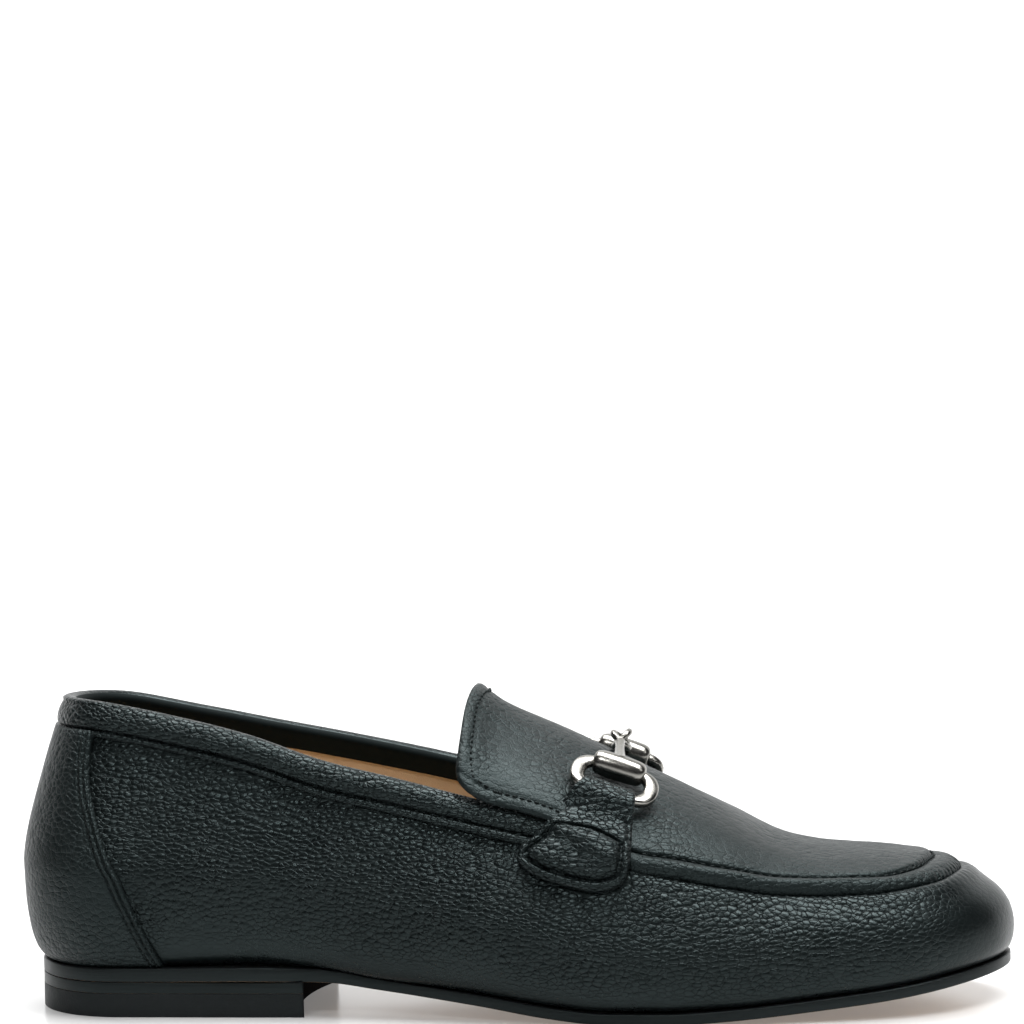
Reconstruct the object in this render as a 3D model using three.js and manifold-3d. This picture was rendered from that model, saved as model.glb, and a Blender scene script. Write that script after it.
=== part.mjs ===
// A snaffle bit loafer for the right foot, in millimetres, with the toe towards +X,
// the outer side of the foot towards -Y and the ground at z = 0.
// Leather parts are laid over one surface of ribs: each rib starts on the feather edge, where the upper
// meets the sole, swells out over it and climbs to the crest that runs from the heel to the toe.

import * as THREE from 'three';
import { mergeVertices } from 'three/addons/utils/BufferGeometryUtils.js';
import Module from 'manifold-3d';

const wasm = await Module();
wasm.setup();

// Sizes of the shoe
const LENGTH = 291;            // back of the heel counter to the tip of the toe
const BALL_WIDTH = 92;         // feather edge across the ball of the foot
const SEAT_WIDTH = 64;         // feather edge across the heel seat
const INSTEP_HEIGHT = 90;      // crest of the upper under the tip of the tongue
const BACK_HEIGHT = 89.5;      // rim of the upper at the back of the heel
const SWELL = 5;               // how far the quarters stand out over the feather edge
const SWELL_HEIGHT = 24;       // height of the widest part of the quarters over the feather edge
const HEEL_END = 34;           // centre of the round heel, from the back
const TOE_END = 44.5;          // centre of the round toe, from the tip
const HEEL_INSET = 6.8;        // feather edge in from the back of the counter
const TOE_INSET = 2.2;         // feather edge in from the tip of the toe

// Sizes of the leather
const GAP = 0.3;               // room between two pieces that touch
const SEAT_GAP = 0.6;          // room under a panel that is cut to the facets of the upper
const RING_GAP = 0.35;         // room that is cut round the ring and round the apron
const WALL = 1.8;              // upper with its lining
const MARGIN = 8;              // lasting margin turned under onto the sole
const COUNTER = 1.3;           // counter panel
const APRON = 1.4;             // apron and tongue
const BEAD_WIDTH = 5.7;        // smooth raised bead along the edge of the apron
const BEAD_HEIGHT = 1.3;       // bead over the apron
const STRAP = 2.2;             // folded strap, both layers
const STRAP_PAD = 1.4;         // padded middle of the strap over its rim
const STRAP_RIM = 3.4;         // flat rim of the strap round the pad
const COLLAR_DEPTH = 9;        // collar band, topline to its lower edge
const COLLAR_PUFF = 2.7;       // padding of the collar band
const COLLAR_LINING = 6;       // collar band inside the shoe
const COLLAR_SKIN = 1.5;       // collar band's layer inside the shoe
const TURN = 2.5;              // round turn of the upper at the feather edge

// Sizes of the bottom
const HEEL_HEIGHT = 10.2;      // ground to the underside of the sole at the heel
const LIFT = 3;                // upper layer of the heel
const HEEL_LENGTH = 88;        // back of the counter to the breast of the heel
const BREAST_HOLLOW = 5;       // how far the breast curves in
const SEAT_EDGE = 4;           // sole at the heel seat
const SOLE_EDGE = 3.2;         // sole at the ball
const TOE_SPRING = 10.4;       // underside of the sole over the ground at the toe
const WELT = 1.2;              // sole past the feather edge
const EDGE_ROUND = 0.7;        // rounding of the sole's edges
const INSOLE = 2;              // insole
const INSOLE_ROUND = 0.4;      // rounding of its edges
const HEEL_ROUND = 0.4;        // rounding of the heel layers' edges

// Sizes of the bit
const BIT_AT = 0.605;          // place of the bit on the outer side, as a share of the length
const BIT_SLANT = 0.007;       // how much nearer the heel it is on the inner side
const RING_LONG = 10.9;        // half of the ring along the shoe, to the middle of the wire
const RING_SQUARE = 2.6;       // 2 makes an oval ring, more makes it squarer
const RING_FOLD = 0.742;       // share of a rib where the ring passes through the strap's fold
const RING_BARREL = 0.835;     // and where it passes through the barrel
const WIRE_THICK = 1.5;        // half of the wire through the ring's flat
const WIRE_NARROW = 1.3;       // half of its width in the barrel and in the strap
const WIRE_WIDE = 2.2;         // half of its width at the sides
const BARREL_LONG = 8;         // half of the barrel's length
const BARREL_ROUND = 3.25;     // barrel's radius
const NECK_ROUND = 1.9;        // neck at the barrel
const EYE = 3;                 // eye of the bar, to the middle of its wire
const EYE_WIRE = 1.05;         // radius of the eye's wire
const BIT_CLEAR = 0.9;         // bit over the apron

// Counts of facets
const RIBS = 30;               // ribs on each side
const UP = 9;                  // steps up a rib
const CROWD = 1.35;            // over 1 crowds the steps at the feather edge, where the leather turns

// Shape of a rib
const CLAMP_SOFT = 7;          // length over which the crest settles at the heel and the toe
const WIDEST = 0.35;           // share of a rib where it is widest
const PLAN_ROUND = 2.1;        // 2 makes the heel and the toe round in plan, more makes them squarer

// Plan of the last. at is a share of LENGTH, ball mixes the seat's width with the ball's, lateral, medial
// and shift, which moves the crest, are shares of that width or of BALL_WIDTH, swellL and swellM of SWELL.
const PLAN = [
  { at: 0.00, ball: 0.00, lateral: 0.469, medial: 0.469, swellL: 1.04, swellM: 1.04, shift: 0.000 },
  { at: 0.12, ball: 0.00, lateral: 0.492, medial: 0.492, swellL: 0.90, swellM: 0.90, shift: 0.000 },
  { at: 0.22, ball: 0.00, lateral: 0.500, medial: 0.484, swellL: 0.90, swellM: 1.00, shift: 0.005 },
  { at: 0.32, ball: 0.35, lateral: 0.440, medial: 0.373, swellL: 1.00, swellM: 1.40, shift: 0.016 },
  { at: 0.40, ball: 0.60, lateral: 0.433, medial: 0.322, swellL: 1.10, swellM: 1.80, shift: 0.027 },
  { at: 0.47, ball: 0.80, lateral: 0.457, medial: 0.336, swellL: 1.00, swellM: 1.60, shift: 0.038 },
  { at: 0.56, ball: 1.00, lateral: 0.489, medial: 0.391, swellL: 0.80, swellM: 1.10, shift: 0.049 },
  { at: 0.64, ball: 1.00, lateral: 0.516, medial: 0.451, swellL: 0.60, swellM: 0.80, shift: 0.049 },
  { at: 0.72, ball: 1.00, lateral: 0.505, medial: 0.495, swellL: 0.52, swellM: 0.56, shift: 0.046 },
  { at: 0.76, ball: 1.00, lateral: 0.489, medial: 0.498, swellL: 0.48, swellM: 0.50, shift: 0.043 },
  { at: 0.80, ball: 1.00, lateral: 0.467, medial: 0.489, swellL: 0.46, swellM: 0.46, shift: 0.041 },
  { at: 0.86, ball: 1.00, lateral: 0.424, medial: 0.462, swellL: 0.42, swellM: 0.42, shift: 0.038 },
  { at: 1.00, ball: 1.00, lateral: 0.348, medial: 0.413, swellL: 0.40, swellM: 0.40, shift: 0.033 },
];

// Heights of the last. crest is a share of INSTEP_HEIGHT, rise of SWELL_HEIGHT, and stand and over say how
// upright and how flat a rib is.
const PROFILE = [
  { at: 0.00, crest: 1.389, rise: 1.19, stand: 0.15, over: 0.30 },
  { at: 0.12, crest: 1.400, rise: 1.08, stand: 0.15, over: 0.33 },
  { at: 0.22, crest: 1.422, rise: 1.00, stand: 0.17, over: 0.38 },
  { at: 0.32, crest: 1.356, rise: 1.00, stand: 0.20, over: 0.40 },
  { at: 0.40, crest: 1.189, rise: 0.92, stand: 0.28, over: 0.42 },
  { at: 0.47, crest: 0.989, rise: 0.79, stand: 0.34, over: 0.45 },
  { at: 0.56, crest: 0.844, rise: 0.67, stand: 0.42, over: 0.50 },
  { at: 0.64, crest: 0.717, rise: 0.58, stand: 0.48, over: 0.55 },
  { at: 0.72, crest: 0.587, rise: 0.50, stand: 0.54, over: 0.60 },
  { at: 0.76, crest: 0.518, rise: 0.46, stand: 0.56, over: 0.64 },
  { at: 0.80, crest: 0.484, rise: 0.44, stand: 0.58, over: 0.66 },
  { at: 0.86, crest: 0.467, rise: 0.42, stand: 0.60, over: 0.68 },
  { at: 1.00, crest: 0.444, rise: 0.33, stand: 0.62, over: 0.68 },
];

// Underside of the sole: block and spring are shares of HEEL_HEIGHT and TOE_SPRING, seat mixes SOLE_EDGE
// with SEAT_EDGE, and out is a share of WELT.
const SOLE = [
  { at: 0.00, block: 1.00, spring: 0.00, seat: 1.0, out: 1.25 },
  { at: 0.14, block: 1.00, spring: 0.00, seat: 1.0, out: 1.25 },
  { at: 0.29, block: 1.00, spring: 0.00, seat: 1.0, out: 1.10 },
  { at: 0.33, block: 0.92, spring: 0.00, seat: 0.7, out: -1.60 },
  { at: 0.37, block: 0.75, spring: 0.00, seat: 0.2, out: -2.40 },
  { at: 0.42, block: 0.60, spring: 0.00, seat: 0.0, out: -1.00 },
  { at: 0.48, block: 0.41, spring: 0.00, seat: 0.0, out: 0.20 },
  { at: 0.54, block: 0.17, spring: 0.00, seat: 0.0, out: 0.80 },
  { at: 0.60, block: 0.00, spring: 0.00, seat: 0.0, out: 0.90 },
  { at: 0.67, block: 0.00, spring: 0.00, seat: 0.0, out: 0.90 },
  { at: 0.72, block: 0.00, spring: 0.08, seat: 0.0, out: 0.90 },
  { at: 0.80, block: 0.00, spring: 0.28, seat: 0.0, out: 0.90 },
  { at: 0.90, block: 0.00, spring: 0.58, seat: 0.0, out: 0.90 },
  { at: 1.00, block: 0.00, spring: 1.00, seat: 0.0, out: 0.90 },
];

// Rim of the upper on each side of the foot, as shares of BACK_HEIGHT.
const TOPLINE = [
  { at: 0.00, lateral: 1.000, medial: 1.000 },
  { at: 0.09, lateral: 0.990, medial: 0.978 },
  { at: 0.18, lateral: 0.940, medial: 0.922 },
  { at: 0.25, lateral: 0.884, medial: 0.874 },
  { at: 0.32, lateral: 0.807, medial: 0.830 },
  { at: 0.40, lateral: 0.744, medial: 0.776 },
  { at: 0.47, lateral: 0.684, medial: 0.723 },
  { at: 0.53, lateral: 0.637, medial: 0.671 },
  { at: 0.62, lateral: 0.570, medial: 0.600 },
];
const THROAT = [0.56, 0.615];  // where the rim turns up under the tongue, and where it crosses the crest
const COLLAR_FRONT = 0.56;     // front end of the collar band, under the strap

// Front edge of the counter: up is a share of a rib.
const COUNTER_FRONT = [
  { up: 0.00, at: 0.163 },
  { up: 0.10, at: 0.159 },
  { up: 0.26, at: 0.141 },
  { up: 0.35, at: 0.125 },
  { up: 0.48, at: 0.103 },
  { up: 0.57, at: 0.086 },
  { up: 0.70, at: 0.083 },
];

// Edge of the tongue and then of the apron: up is a share of a rib, bead a share of BEAD_HEIGHT, and lift
// a share of the collar band's padding that the tongue's edge passes over.
const APRON_EDGE = [
  { at: 0.45, up: 0.650, bead: 0, lift: 1.0 },
  { at: 0.48, up: 0.641, bead: 0, lift: 1.0 },
  { at: 0.52, up: 0.645, bead: 0, lift: 1.0 },
  { at: 0.555, up: 0.640, bead: 0, lift: 1.0 },
  { at: 0.595, up: 0.612, bead: 0, lift: 0.2 },
  { at: 0.632, up: 0.592, bead: 1, lift: 0.0 },
  { at: 0.674, up: 0.602, bead: 1, lift: 0.0 },
  { at: 0.712, up: 0.610, bead: 1, lift: 0.0 },
  { at: 0.751, up: 0.631, bead: 1, lift: 0.0 },
  { at: 0.792, up: 0.646, bead: 1, lift: 0.0 },
  { at: 0.834, up: 0.653, bead: 1, lift: 0.0 },
  { at: 0.884, up: 0.653, bead: 1, lift: 0.0 },
  { at: 0.921, up: 0.668, bead: 1, lift: 0.0 },
  { at: 0.953, up: 0.687, bead: 1, lift: 0.0 },
  { at: 0.976, up: 0.713, bead: 1, lift: 0.0 },
  { at: 1.000, up: 0.734, bead: 1, lift: 0.0 },
];
const TONGUE_TIP = 0.462;      // tip of the tongue on the crest
const TIP_BOW = 0.008;         // how far its sides run back
const TIP_ROUND = 0.022;       // how far its corners are rounded off

// Outline of a strap from its fold to its round end: up is a share of a rib.
const STRAP_OUTLINE = [
  { row: 0.00, up: 0.772, rear: 0.582, front: 0.626 },
  { row: 0.20, up: 0.710, rear: 0.564, front: 0.628 },
  { row: 0.38, up: 0.650, rear: 0.549, front: 0.6295 },
  { row: 0.50, up: 0.613, rear: 0.538, front: 0.6295 },
  { row: 0.60, up: 0.587, rear: 0.526, front: 0.629 },
  { row: 0.70, up: 0.564, rear: 0.521, front: 0.627 },
  { row: 0.80, up: 0.542, rear: 0.525, front: 0.620 },
  { row: 0.88, up: 0.529, rear: 0.537, front: 0.609 },
  { row: 0.95, up: 0.519, rear: 0.554, front: 0.597 },
  { row: 1.00, up: 0.515, rear: 0.569, front: 0.583 },
];

const { cos, sin, abs, min, max, sqrt, hypot, sign, PI } = Math;
const mix = (a, b, t) => a + (b - a) * t;
const clamp = THREE.MathUtils.clamp;
const ease = THREE.MathUtils.smoothstep;
const range = (n) => Array.from({ length: n }, (_, i) => i);

// Materials
const leather = (color, roughness) => new THREE.MeshStandardMaterial({ color, roughness, metalness: 0 });
const grainLeather = leather('#1b1d1e', 0.55);
const smoothLeather = leather('#202326', 0.42);
const soleLeather = leather('#141414', 0.4);
const insoleLeather = leather('#b98f63', 0.6);
const heelRubber = leather('#121212', 0.6);
const bitMetal = new THREE.MeshStandardMaterial({ color: '#b9b3a6', roughness: 0.2, metalness: 1 });

// A column of a table as a smooth function of another column.
function column(rows, name, key = 'at') {
  const x = rows.map((row) => row[key]);
  const y = rows.map((row) => row[name]);
  const last = rows.length - 1;
  const slope = y.map((value, i) => {
    if (i === 0) return (y[1] - y[0]) / (x[1] - x[0]);
    if (i === last) return (y[last] - y[last - 1]) / (x[last] - x[last - 1]);
    const before = x[i] - x[i - 1];
    const after = x[i + 1] - x[i];
    const weighted = before ** 2 * y[i + 1] + (after ** 2 - before ** 2) * value - after ** 2 * y[i - 1];
    return weighted / (before * after * (before + after));
  });
  return (at) => {
    let i = 0;
    while (i < last - 1 && at > x[i + 1]) i += 1;
    const step = x[i + 1] - x[i];
    const t = clamp((at - x[i]) / step, 0, 1);
    const rise = y[i + 1] - y[i];
    const bend = t * (1 - t) * ((1 - t) * (step * slope[i] - rise) - t * (step * slope[i + 1] - rise));
    return y[i] + rise * t + bend;
  };
}

// All columns of a table but its key.
function columns(rows, key = 'at') {
  const names = Object.keys(rows[0]).filter((name) => name !== key);
  return Object.fromEntries(names.map((name) => [name, column(rows, name, key)]));
}

const last = { ...columns(PLAN), ...columns(PROFILE) };
const bottom = columns(SOLE);
const topline = columns(TOPLINE);
const counterFront = columns(COUNTER_FRONT, 'up').at;
const apron = columns(APRON_EDGE);
const strapAt = columns(STRAP_OUTLINE, 'row');

const soleUnder = (at) => max(bottom.block(at) * HEEL_HEIGHT + bottom.spring(at) * TOE_SPRING, 0);
const soleThick = (at) => mix(SOLE_EDGE, SEAT_EDGE, clamp(bottom.seat(at), 0, 1));
const soleTop = (at) => soleUnder(at) + soleThick(at);

// Ribs are numbered round the shoe: -1 is the toe, -0.5 the outer side, 0 the back of the heel, 0.5 the
// inner side and 1 the toe again.
const FEATHER_LENGTH = LENGTH - HEEL_INSET - TOE_INSET;
const wrap = (q) => (q > 1 ? q - 2 : q < -1 ? q + 2 : q);
const shareOf = (q) => (HEEL_INSET + (FEATHER_LENGTH * (1 - cos(PI * abs(q)))) / 2) / LENGTH;
const ribAt = (at, side) => (side * Math.acos(1 - (2 * (at * LENGTH - HEEL_INSET)) / FEATHER_LENGTH)) / PI;
const softplus = (x) => Math.log1p(Math.exp(-abs(x))) + max(x, 0);

function crestAt(x) {
  const soft = softplus((HEEL_END - x) / CLAMP_SOFT) - softplus((x - LENGTH + TOE_END) / CLAMP_SOFT);
  const along = x + CLAMP_SOFT * soft;
  const at = along / LENGTH;
  const step = 0.003;
  const slope = ((last.crest(at + step) - last.crest(at - step)) * INSTEP_HEIGHT) / (2 * step * LENGTH);
  return { x: along, y: last.shift(at) * BALL_WIDTH, z: last.crest(at) * INSTEP_HEIGHT, slope };
}

function widthAt(at, side) {
  const width = mix(SEAT_WIDTH, BALL_WIDTH, last.ball(at));
  const x = at * LENGTH;
  const heel = clamp((HEEL_END - x) / (HEEL_END - HEEL_INSET), 0, 1);
  const toe = clamp((x - LENGTH + TOE_END) / (TOE_END - TOE_INSET), 0, 1);
  const round = sqrt(max(1 - heel ** PLAN_ROUND, 0)) * sqrt(max(1 - toe ** PLAN_ROUND, 0));
  const middle = (width * (last.medial(at) - last.lateral(at))) / 2;
  const half = (width * (last.medial(at) + last.lateral(at))) / 2;
  return middle + side * half * round;
}

function rib(q) {
  const number = wrap(q);
  const at = shareOf(number);
  const crest = crestAt(at * LENGTH);
  const away = { x: at * LENGTH - crest.x, y: widthAt(at, number < 0 ? -1 : 1) - crest.y };
  const reach = hypot(away.x, away.y);
  const across = away.y / reach;
  const swell = SWELL * mix(last.swellM(at), last.swellL(at), (1 - across) / 2);
  return { at, crest, reach, along: away.x / reach, across, swell };
}

function bezier(t, a, b, c, d) {
  const s = 1 - t;
  return s ** 3 * a + 3 * s * s * t * b + 3 * s * t * t * c + t ** 3 * d;
}

// Point on a rib: up is 0 at the feather edge, 1 on the crest and negative on the lasting margin.
function pointOn(r, up) {
  const footing = r.reach - TURN + min(up, 0) * MARGIN;
  const floor = soleTop((r.crest.x + r.along * footing) / LENGTH) + GAP;
  const wide = r.reach + r.swell;
  const rise = last.rise(r.at) * SWELL_HEIGHT;
  let out;
  let z;
  if (up < WIDEST) {
    const t = max(up, 0) / WIDEST;
    out = bezier(t, r.reach - TURN, r.reach + 0.3 * r.swell, wide, wide) + min(up, 0) * MARGIN;
    z = bezier(t, floor, floor, floor + 0.35 * rise, floor + rise);
  } else {
    const t = (up - WIDEST) / (1 - WIDEST);
    const base = floor + rise;
    const over = wide * last.over(r.at);
    const shoulder = base + last.stand(r.at) * (r.crest.z - base);
    out = bezier(t, wide, wide, over, 0);
    z = bezier(t, base, shoulder, r.crest.z + r.crest.slope * r.along * over, r.crest.z);
  }
  return new THREE.Vector3(r.crest.x + r.along * out, r.crest.y + r.across * out, z);
}

const skin = (q, up) => pointOn(rib(q), up);

function outward(q, up) {
  if (up >= 1) {
    const { slope } = rib(q).crest;
    return new THREE.Vector3(-slope, 0, 1).normalize();
  }
  if (up < 0) return new THREE.Vector3(0, 0, -1);
  const step = 0.002;
  const round = skin(q + step, up).sub(skin(q - step, up));
  const climb = skin(q, min(up + step, 1)).sub(skin(q, max(up - step, 0)));
  return climb.cross(round).normalize();
}

// Point at a height over the surface.
const over = (q, up, height) => outward(q, up).multiplyScalar(height).add(skin(q, up));

// Share of a rib at which it reaches the collar's rim.
function rimOf(q) {
  const r = rib(q);
  const lateral = (1 - r.across) / 2;
  const height = BACK_HEIGHT * mix(topline.medial(r.at), topline.lateral(r.at), lateral);
  let low = WIDEST;
  let high = 1;
  for (let i = 0; i < 24; i += 1) {
    const middle = (low + high) / 2;
    if (pointOn(r, middle).z < height) low = middle;
    else high = middle;
  }
  return low;
}

// Share of a rib a distance from another share of it, measured along the rib.
function walk(q, from, distance) {
  const r = rib(q);
  const step = 0.01 * sign(distance);
  let up = from;
  let left = abs(distance);
  let here = pointOn(r, up);
  while (left > 0 && up + step > 0 && up + step < 1) {
    const next = pointOn(r, up + step);
    const gone = next.distanceTo(here);
    if (gone > left) return up + (step * left) / gone;
    left -= gone;
    up += step;
    here = next;
  }
  return up;
}

// Distance along a rib from a share of it to a higher one, less than 0 to a lower one.
function walkedFrom(q, from, up) {
  const r = rib(q);
  const steps = 4;
  return sign(up - from) * range(steps).reduce((sum, i) => {
    const here = pointOn(r, mix(from, up, i / steps));
    return sum + here.distanceTo(pointOn(r, mix(from, up, (i + 1) / steps)));
  }, 0);
}

// Meshes from triangles
class Skin {
  constructor() {
    this.corners = [];
  }

  triangle(a, b, c) {
    this.corners.push(a, b, c);
  }

  quad(a, b, c, d) {
    this.triangle(a, b, c);
    this.triangle(a, c, d);
  }

  // The faces are turned to point outwards.
  geometry() {
    const volume = new THREE.Vector3();
    let sum = 0;
    for (let i = 0; i < this.corners.length; i += 3) {
      const [a, b, c] = this.corners.slice(i, i + 3);
      sum += volume.crossVectors(a, b).dot(c);
    }
    const corners = sum > 0 ? this.corners : [...this.corners].reverse();
    const flat = corners.flatMap((point) => point.toArray());
    const geometry = new THREE.BufferGeometry();
    geometry.setAttribute('position', new THREE.Float32BufferAttribute(flat, 3));
    return welded(geometry);
  }
}

// One vertex for each corner of a mesh, and no triangle without an area.
function welded(geometry) {
  geometry.deleteAttribute('normal');
  geometry.deleteAttribute('uv');
  const merged = mergeVertices(geometry, 1e-3);
  const index = [...merged.index.array];
  const kept = [];
  for (let i = 0; i < index.length; i += 3) {
    const [a, b, c] = index.slice(i, i + 3);
    if (a !== b && b !== c && c !== a) kept.push(a, b, c);
  }
  merged.setIndex(kept);
  return merged;
}

// A closed body between two grids of points. Where it is folded, its last row meets itself.
function sheet(outer, inner, folded = false) {
  const mesh = new Skin();
  const rows = outer.length;
  const columns = outer[0].length;
  for (let i = 0; i < rows - 1; i += 1) {
    for (let j = 0; j < columns - 1; j += 1) {
      mesh.quad(outer[i][j], outer[i][j + 1], outer[i + 1][j + 1], outer[i + 1][j]);
      mesh.quad(inner[i][j], inner[i + 1][j], inner[i + 1][j + 1], inner[i][j + 1]);
    }
    mesh.quad(outer[i + 1][0], inner[i + 1][0], inner[i][0], outer[i][0]);
    const edge = columns - 1;
    mesh.quad(outer[i][edge], inner[i][edge], inner[i + 1][edge], outer[i + 1][edge]);
  }
  const end = rows - 1;
  for (let j = 0; j < columns - 1; j += 1) {
    mesh.quad(outer[0][j], inner[0][j], inner[0][j + 1], outer[0][j + 1]);
    if (!folded) mesh.quad(outer[end][j + 1], inner[end][j + 1], inner[end][j], outer[end][j]);
  }
  return mesh.geometry();
}

// A closed body through rings of points. Open paths get caps, cut into triangles as the flat section is.
function loft(rings, section = null) {
  const mesh = new Skin();
  const count = rings[0].length;
  const steps = section ? rings.length - 1 : rings.length;
  for (let i = 0; i < steps; i += 1) {
    const here = rings[i];
    const next = rings[(i + 1) % rings.length];
    for (let j = 0; j < count; j += 1) {
      const k = (j + 1) % count;
      mesh.quad(here[j], here[k], next[k], next[j]);
    }
  }
  if (section) {
    const end = rings[rings.length - 1];
    for (const [a, b, c] of THREE.ShapeUtils.triangulateShape(section, [])) {
      const [first, second, third] = THREE.ShapeUtils.isClockWise(section) ? [c, b, a] : [a, b, c];
      mesh.triangle(rings[0][third], rings[0][second], rings[0][first]);
      mesh.triangle(end[first], end[second], end[third]);
    }
  }
  return mesh.geometry();
}

function solid(geometry) {
  const source = welded(geometry);
  return new wasm.Manifold(new wasm.Mesh({
    numProp: 3,
    vertProperties: Float32Array.from(source.getAttribute('position').array),
    triVerts: Uint32Array.from(source.index.array),
  }));
}

// The largest body of a solid, as a mesh's geometry.
function bodyOf(body) {
  const [largest] = body.decompose().sort((a, b) => b.volume() - a.volume());
  const mesh = largest.getMesh();
  const geometry = new THREE.BufferGeometry();
  geometry.setAttribute('position', new THREE.Float32BufferAttribute(mesh.vertProperties, 3));
  geometry.setIndex([...mesh.triVerts]);
  return welded(geometry);
}

// Bottom of the shoe
function edgePoint(q, out) {
  const r = rib(q);
  return new THREE.Vector2(r.crest.x + r.along * (r.reach + out), r.crest.y + r.across * (r.reach + out));
}

// A layer that follows the sole, in by a distance and between two heights given as functions of the share.
function layer(outAt, lowAt, highAt, round) {
  const rings = range(RIBS + 1).map((k) => {
    const steps = [[round, highAt, 0], [0, highAt, -round], [0, lowAt, round], [round, lowAt, 0]];
    const side = (q) => steps.map(([inwards, height, step]) => {
      const { x, y } = edgePoint(q, outAt(shareOf(q)) - inwards);
      return new THREE.Vector3(x, y, height(x / LENGTH) + step);
    });
    return [...side(-k / RIBS), ...side(k / RIBS).reverse()];
  });
  const mesh = new Skin();
  for (let i = 0; i < RIBS; i += 1) {
    for (const j of range(8)) {
      const k = (j + 1) % 8;
      mesh.quad(rings[i][j], rings[i][k], rings[i + 1][k], rings[i + 1][j]);
    }
  }
  return mesh.geometry();
}

const outsole = () => layer((at) => bottom.out(at) * WELT, soleUnder, soleTop, EDGE_ROUND);

const insoleUnder = (at) => soleTop(at) + WALL + 2 * GAP;
const insoleTop = (at) => insoleUnder(at) + INSOLE;
const insole = () => layer(() => -TURN - WALL / 2, insoleUnder, insoleTop, INSOLE_ROUND);

// A layer of the heel between two heights, with its breast curving in.
function heelLayer(low, high) {
  const breast = ribAt(HEEL_LENGTH / LENGTH, 1);
  const out = bottom.out(0) * WELT;
  const steps = 20;
  const outline = range(steps + 1).map((k) => edgePoint(mix(-breast, breast, k / steps), out));
  const shape = new THREE.Shape(outline);
  const start = outline[0];
  const middle = (start.y + outline[steps].y) / 2;
  shape.quadraticCurveTo(HEEL_LENGTH - 2 * BREAST_HOLLOW, middle, start.x, start.y);
  const geometry = new THREE.ExtrudeGeometry(shape, {
    depth: high - low - 2 * HEEL_ROUND,
    bevelThickness: HEEL_ROUND,
    bevelSize: HEEL_ROUND,
    bevelOffset: -HEEL_ROUND,
    bevelSegments: 1,
    curveSegments: 8,
  });
  return welded(geometry.translate(0, 0, low + HEEL_ROUND));
}

// Upper: quarters and vamp in one hollow shell, open at the collar and under the foot
function shellTop(q) {
  const rim = rimOf(q);
  const turn = clamp((shareOf(wrap(q)) - THROAT[0]) / (THROAT[1] - THROAT[0]), 0, 1);
  return turn >= 1 ? 1 : mix(rim, 1, 1 - sqrt(1 - turn ** 2));
}

// grow makes it larger, to cut room for it in what lies on it.
function upper(grow = 0) {
  const ribs = range(2 * RIBS).map((k) => {
    const q = k / RIBS - 1;
    const rim = shellTop(q);
    const top = grow && rim < 1 ? walk(q, rim, grow) : rim;
    const ups = [-1, 0, ...range(UP).map((i) => top * ((i + 1) / UP) ** CROWD)];
    const at = (height) => ups.map((up) => over(q, up, height));
    return { top, outer: at(grow), inner: at(-WALL - grow) };
  });
  const mesh = new Skin();
  ribs.forEach((here, k) => {
    const next = ribs[(k + 1) % ribs.length];
    const edge = here.outer.length - 1;
    for (let j = 0; j < edge; j += 1) {
      mesh.quad(here.outer[j], here.outer[j + 1], next.outer[j + 1], next.outer[j]);
      mesh.quad(here.inner[j], next.inner[j], next.inner[j + 1], here.inner[j + 1]);
    }
    mesh.quad(here.inner[0], here.outer[0], next.outer[0], next.inner[0]);
    if (here.top < 1 || next.top < 1) {
      mesh.quad(here.outer[edge], here.inner[edge], next.inner[edge], next.outer[edge]);
    }
  });
  return mesh.geometry();
}

// Counter panel round the back of the heel, under the collar band
const COUNTER_LOW = 0.1;       // share of a rib at its lower edge
const COUNTER_HIGH = 0.64;     // and about where its upper edge is

function heelCounter() {
  const round = 8;
  const climb = 7;
  const rows = range(2 * round + 1).map((k) => (k - round) / round);
  const grid = (height) => rows.map((w) => range(climb + 1).map((j) => {
    const share = (j / climb) ** CROWD;
    const q = w * ribAt(counterFront(mix(COUNTER_LOW, COUNTER_HIGH, share)), 1);
    return over(q, mix(COUNTER_LOW, walk(q, rimOf(q), -COLLAR_DEPTH - GAP), share), height);
  }));
  return sheet(grid(SEAT_GAP + COUNTER), grid(SEAT_GAP));
}

// Collar band: a hairpin section over the rim, as distances down from the rim and heights over the leather.
// Outside it has a ridge at its lower edge, a groove and the puff; then it turns over the rim.
const COLLAR_INSIDE = -WALL - SEAT_GAP;
const COLLAR_SECTION = [
  [COLLAR_DEPTH, SEAT_GAP],
  [COLLAR_DEPTH, GAP + 0.37 * COLLAR_PUFF],
  [0.9 * COLLAR_DEPTH, GAP + 0.52 * COLLAR_PUFF],
  [0.79 * COLLAR_DEPTH, GAP + 0.3 * COLLAR_PUFF],
  [0.67 * COLLAR_DEPTH, GAP + 0.75 * COLLAR_PUFF],
  [0.44 * COLLAR_DEPTH, GAP + COLLAR_PUFF],
  [0.18 * COLLAR_DEPTH, GAP + 0.9 * COLLAR_PUFF],
  [0, GAP + 0.55 * COLLAR_PUFF],
  [-COLLAR_SKIN, GAP],
  [-COLLAR_SKIN, COLLAR_INSIDE + 1.3 * COLLAR_SKIN / 2],
  [-COLLAR_SKIN / 2, COLLAR_INSIDE - 0.6 * COLLAR_SKIN],
  [0.9 * COLLAR_LINING, COLLAR_INSIDE - 0.6 * COLLAR_SKIN],
  [COLLAR_LINING, COLLAR_INSIDE],
  [-SEAT_GAP, COLLAR_INSIDE],
  [-SEAT_GAP, SEAT_GAP],
];

function collarPoint(q, down, height) {
  const rim = rimOf(q);
  if (down >= 0) return over(q, walk(q, rim, -down), height);
  const climb = skin(q, rim).sub(skin(q, rim - 0.01)).normalize();
  return over(q, rim, height).addScaledVector(climb, -down);
}

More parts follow.
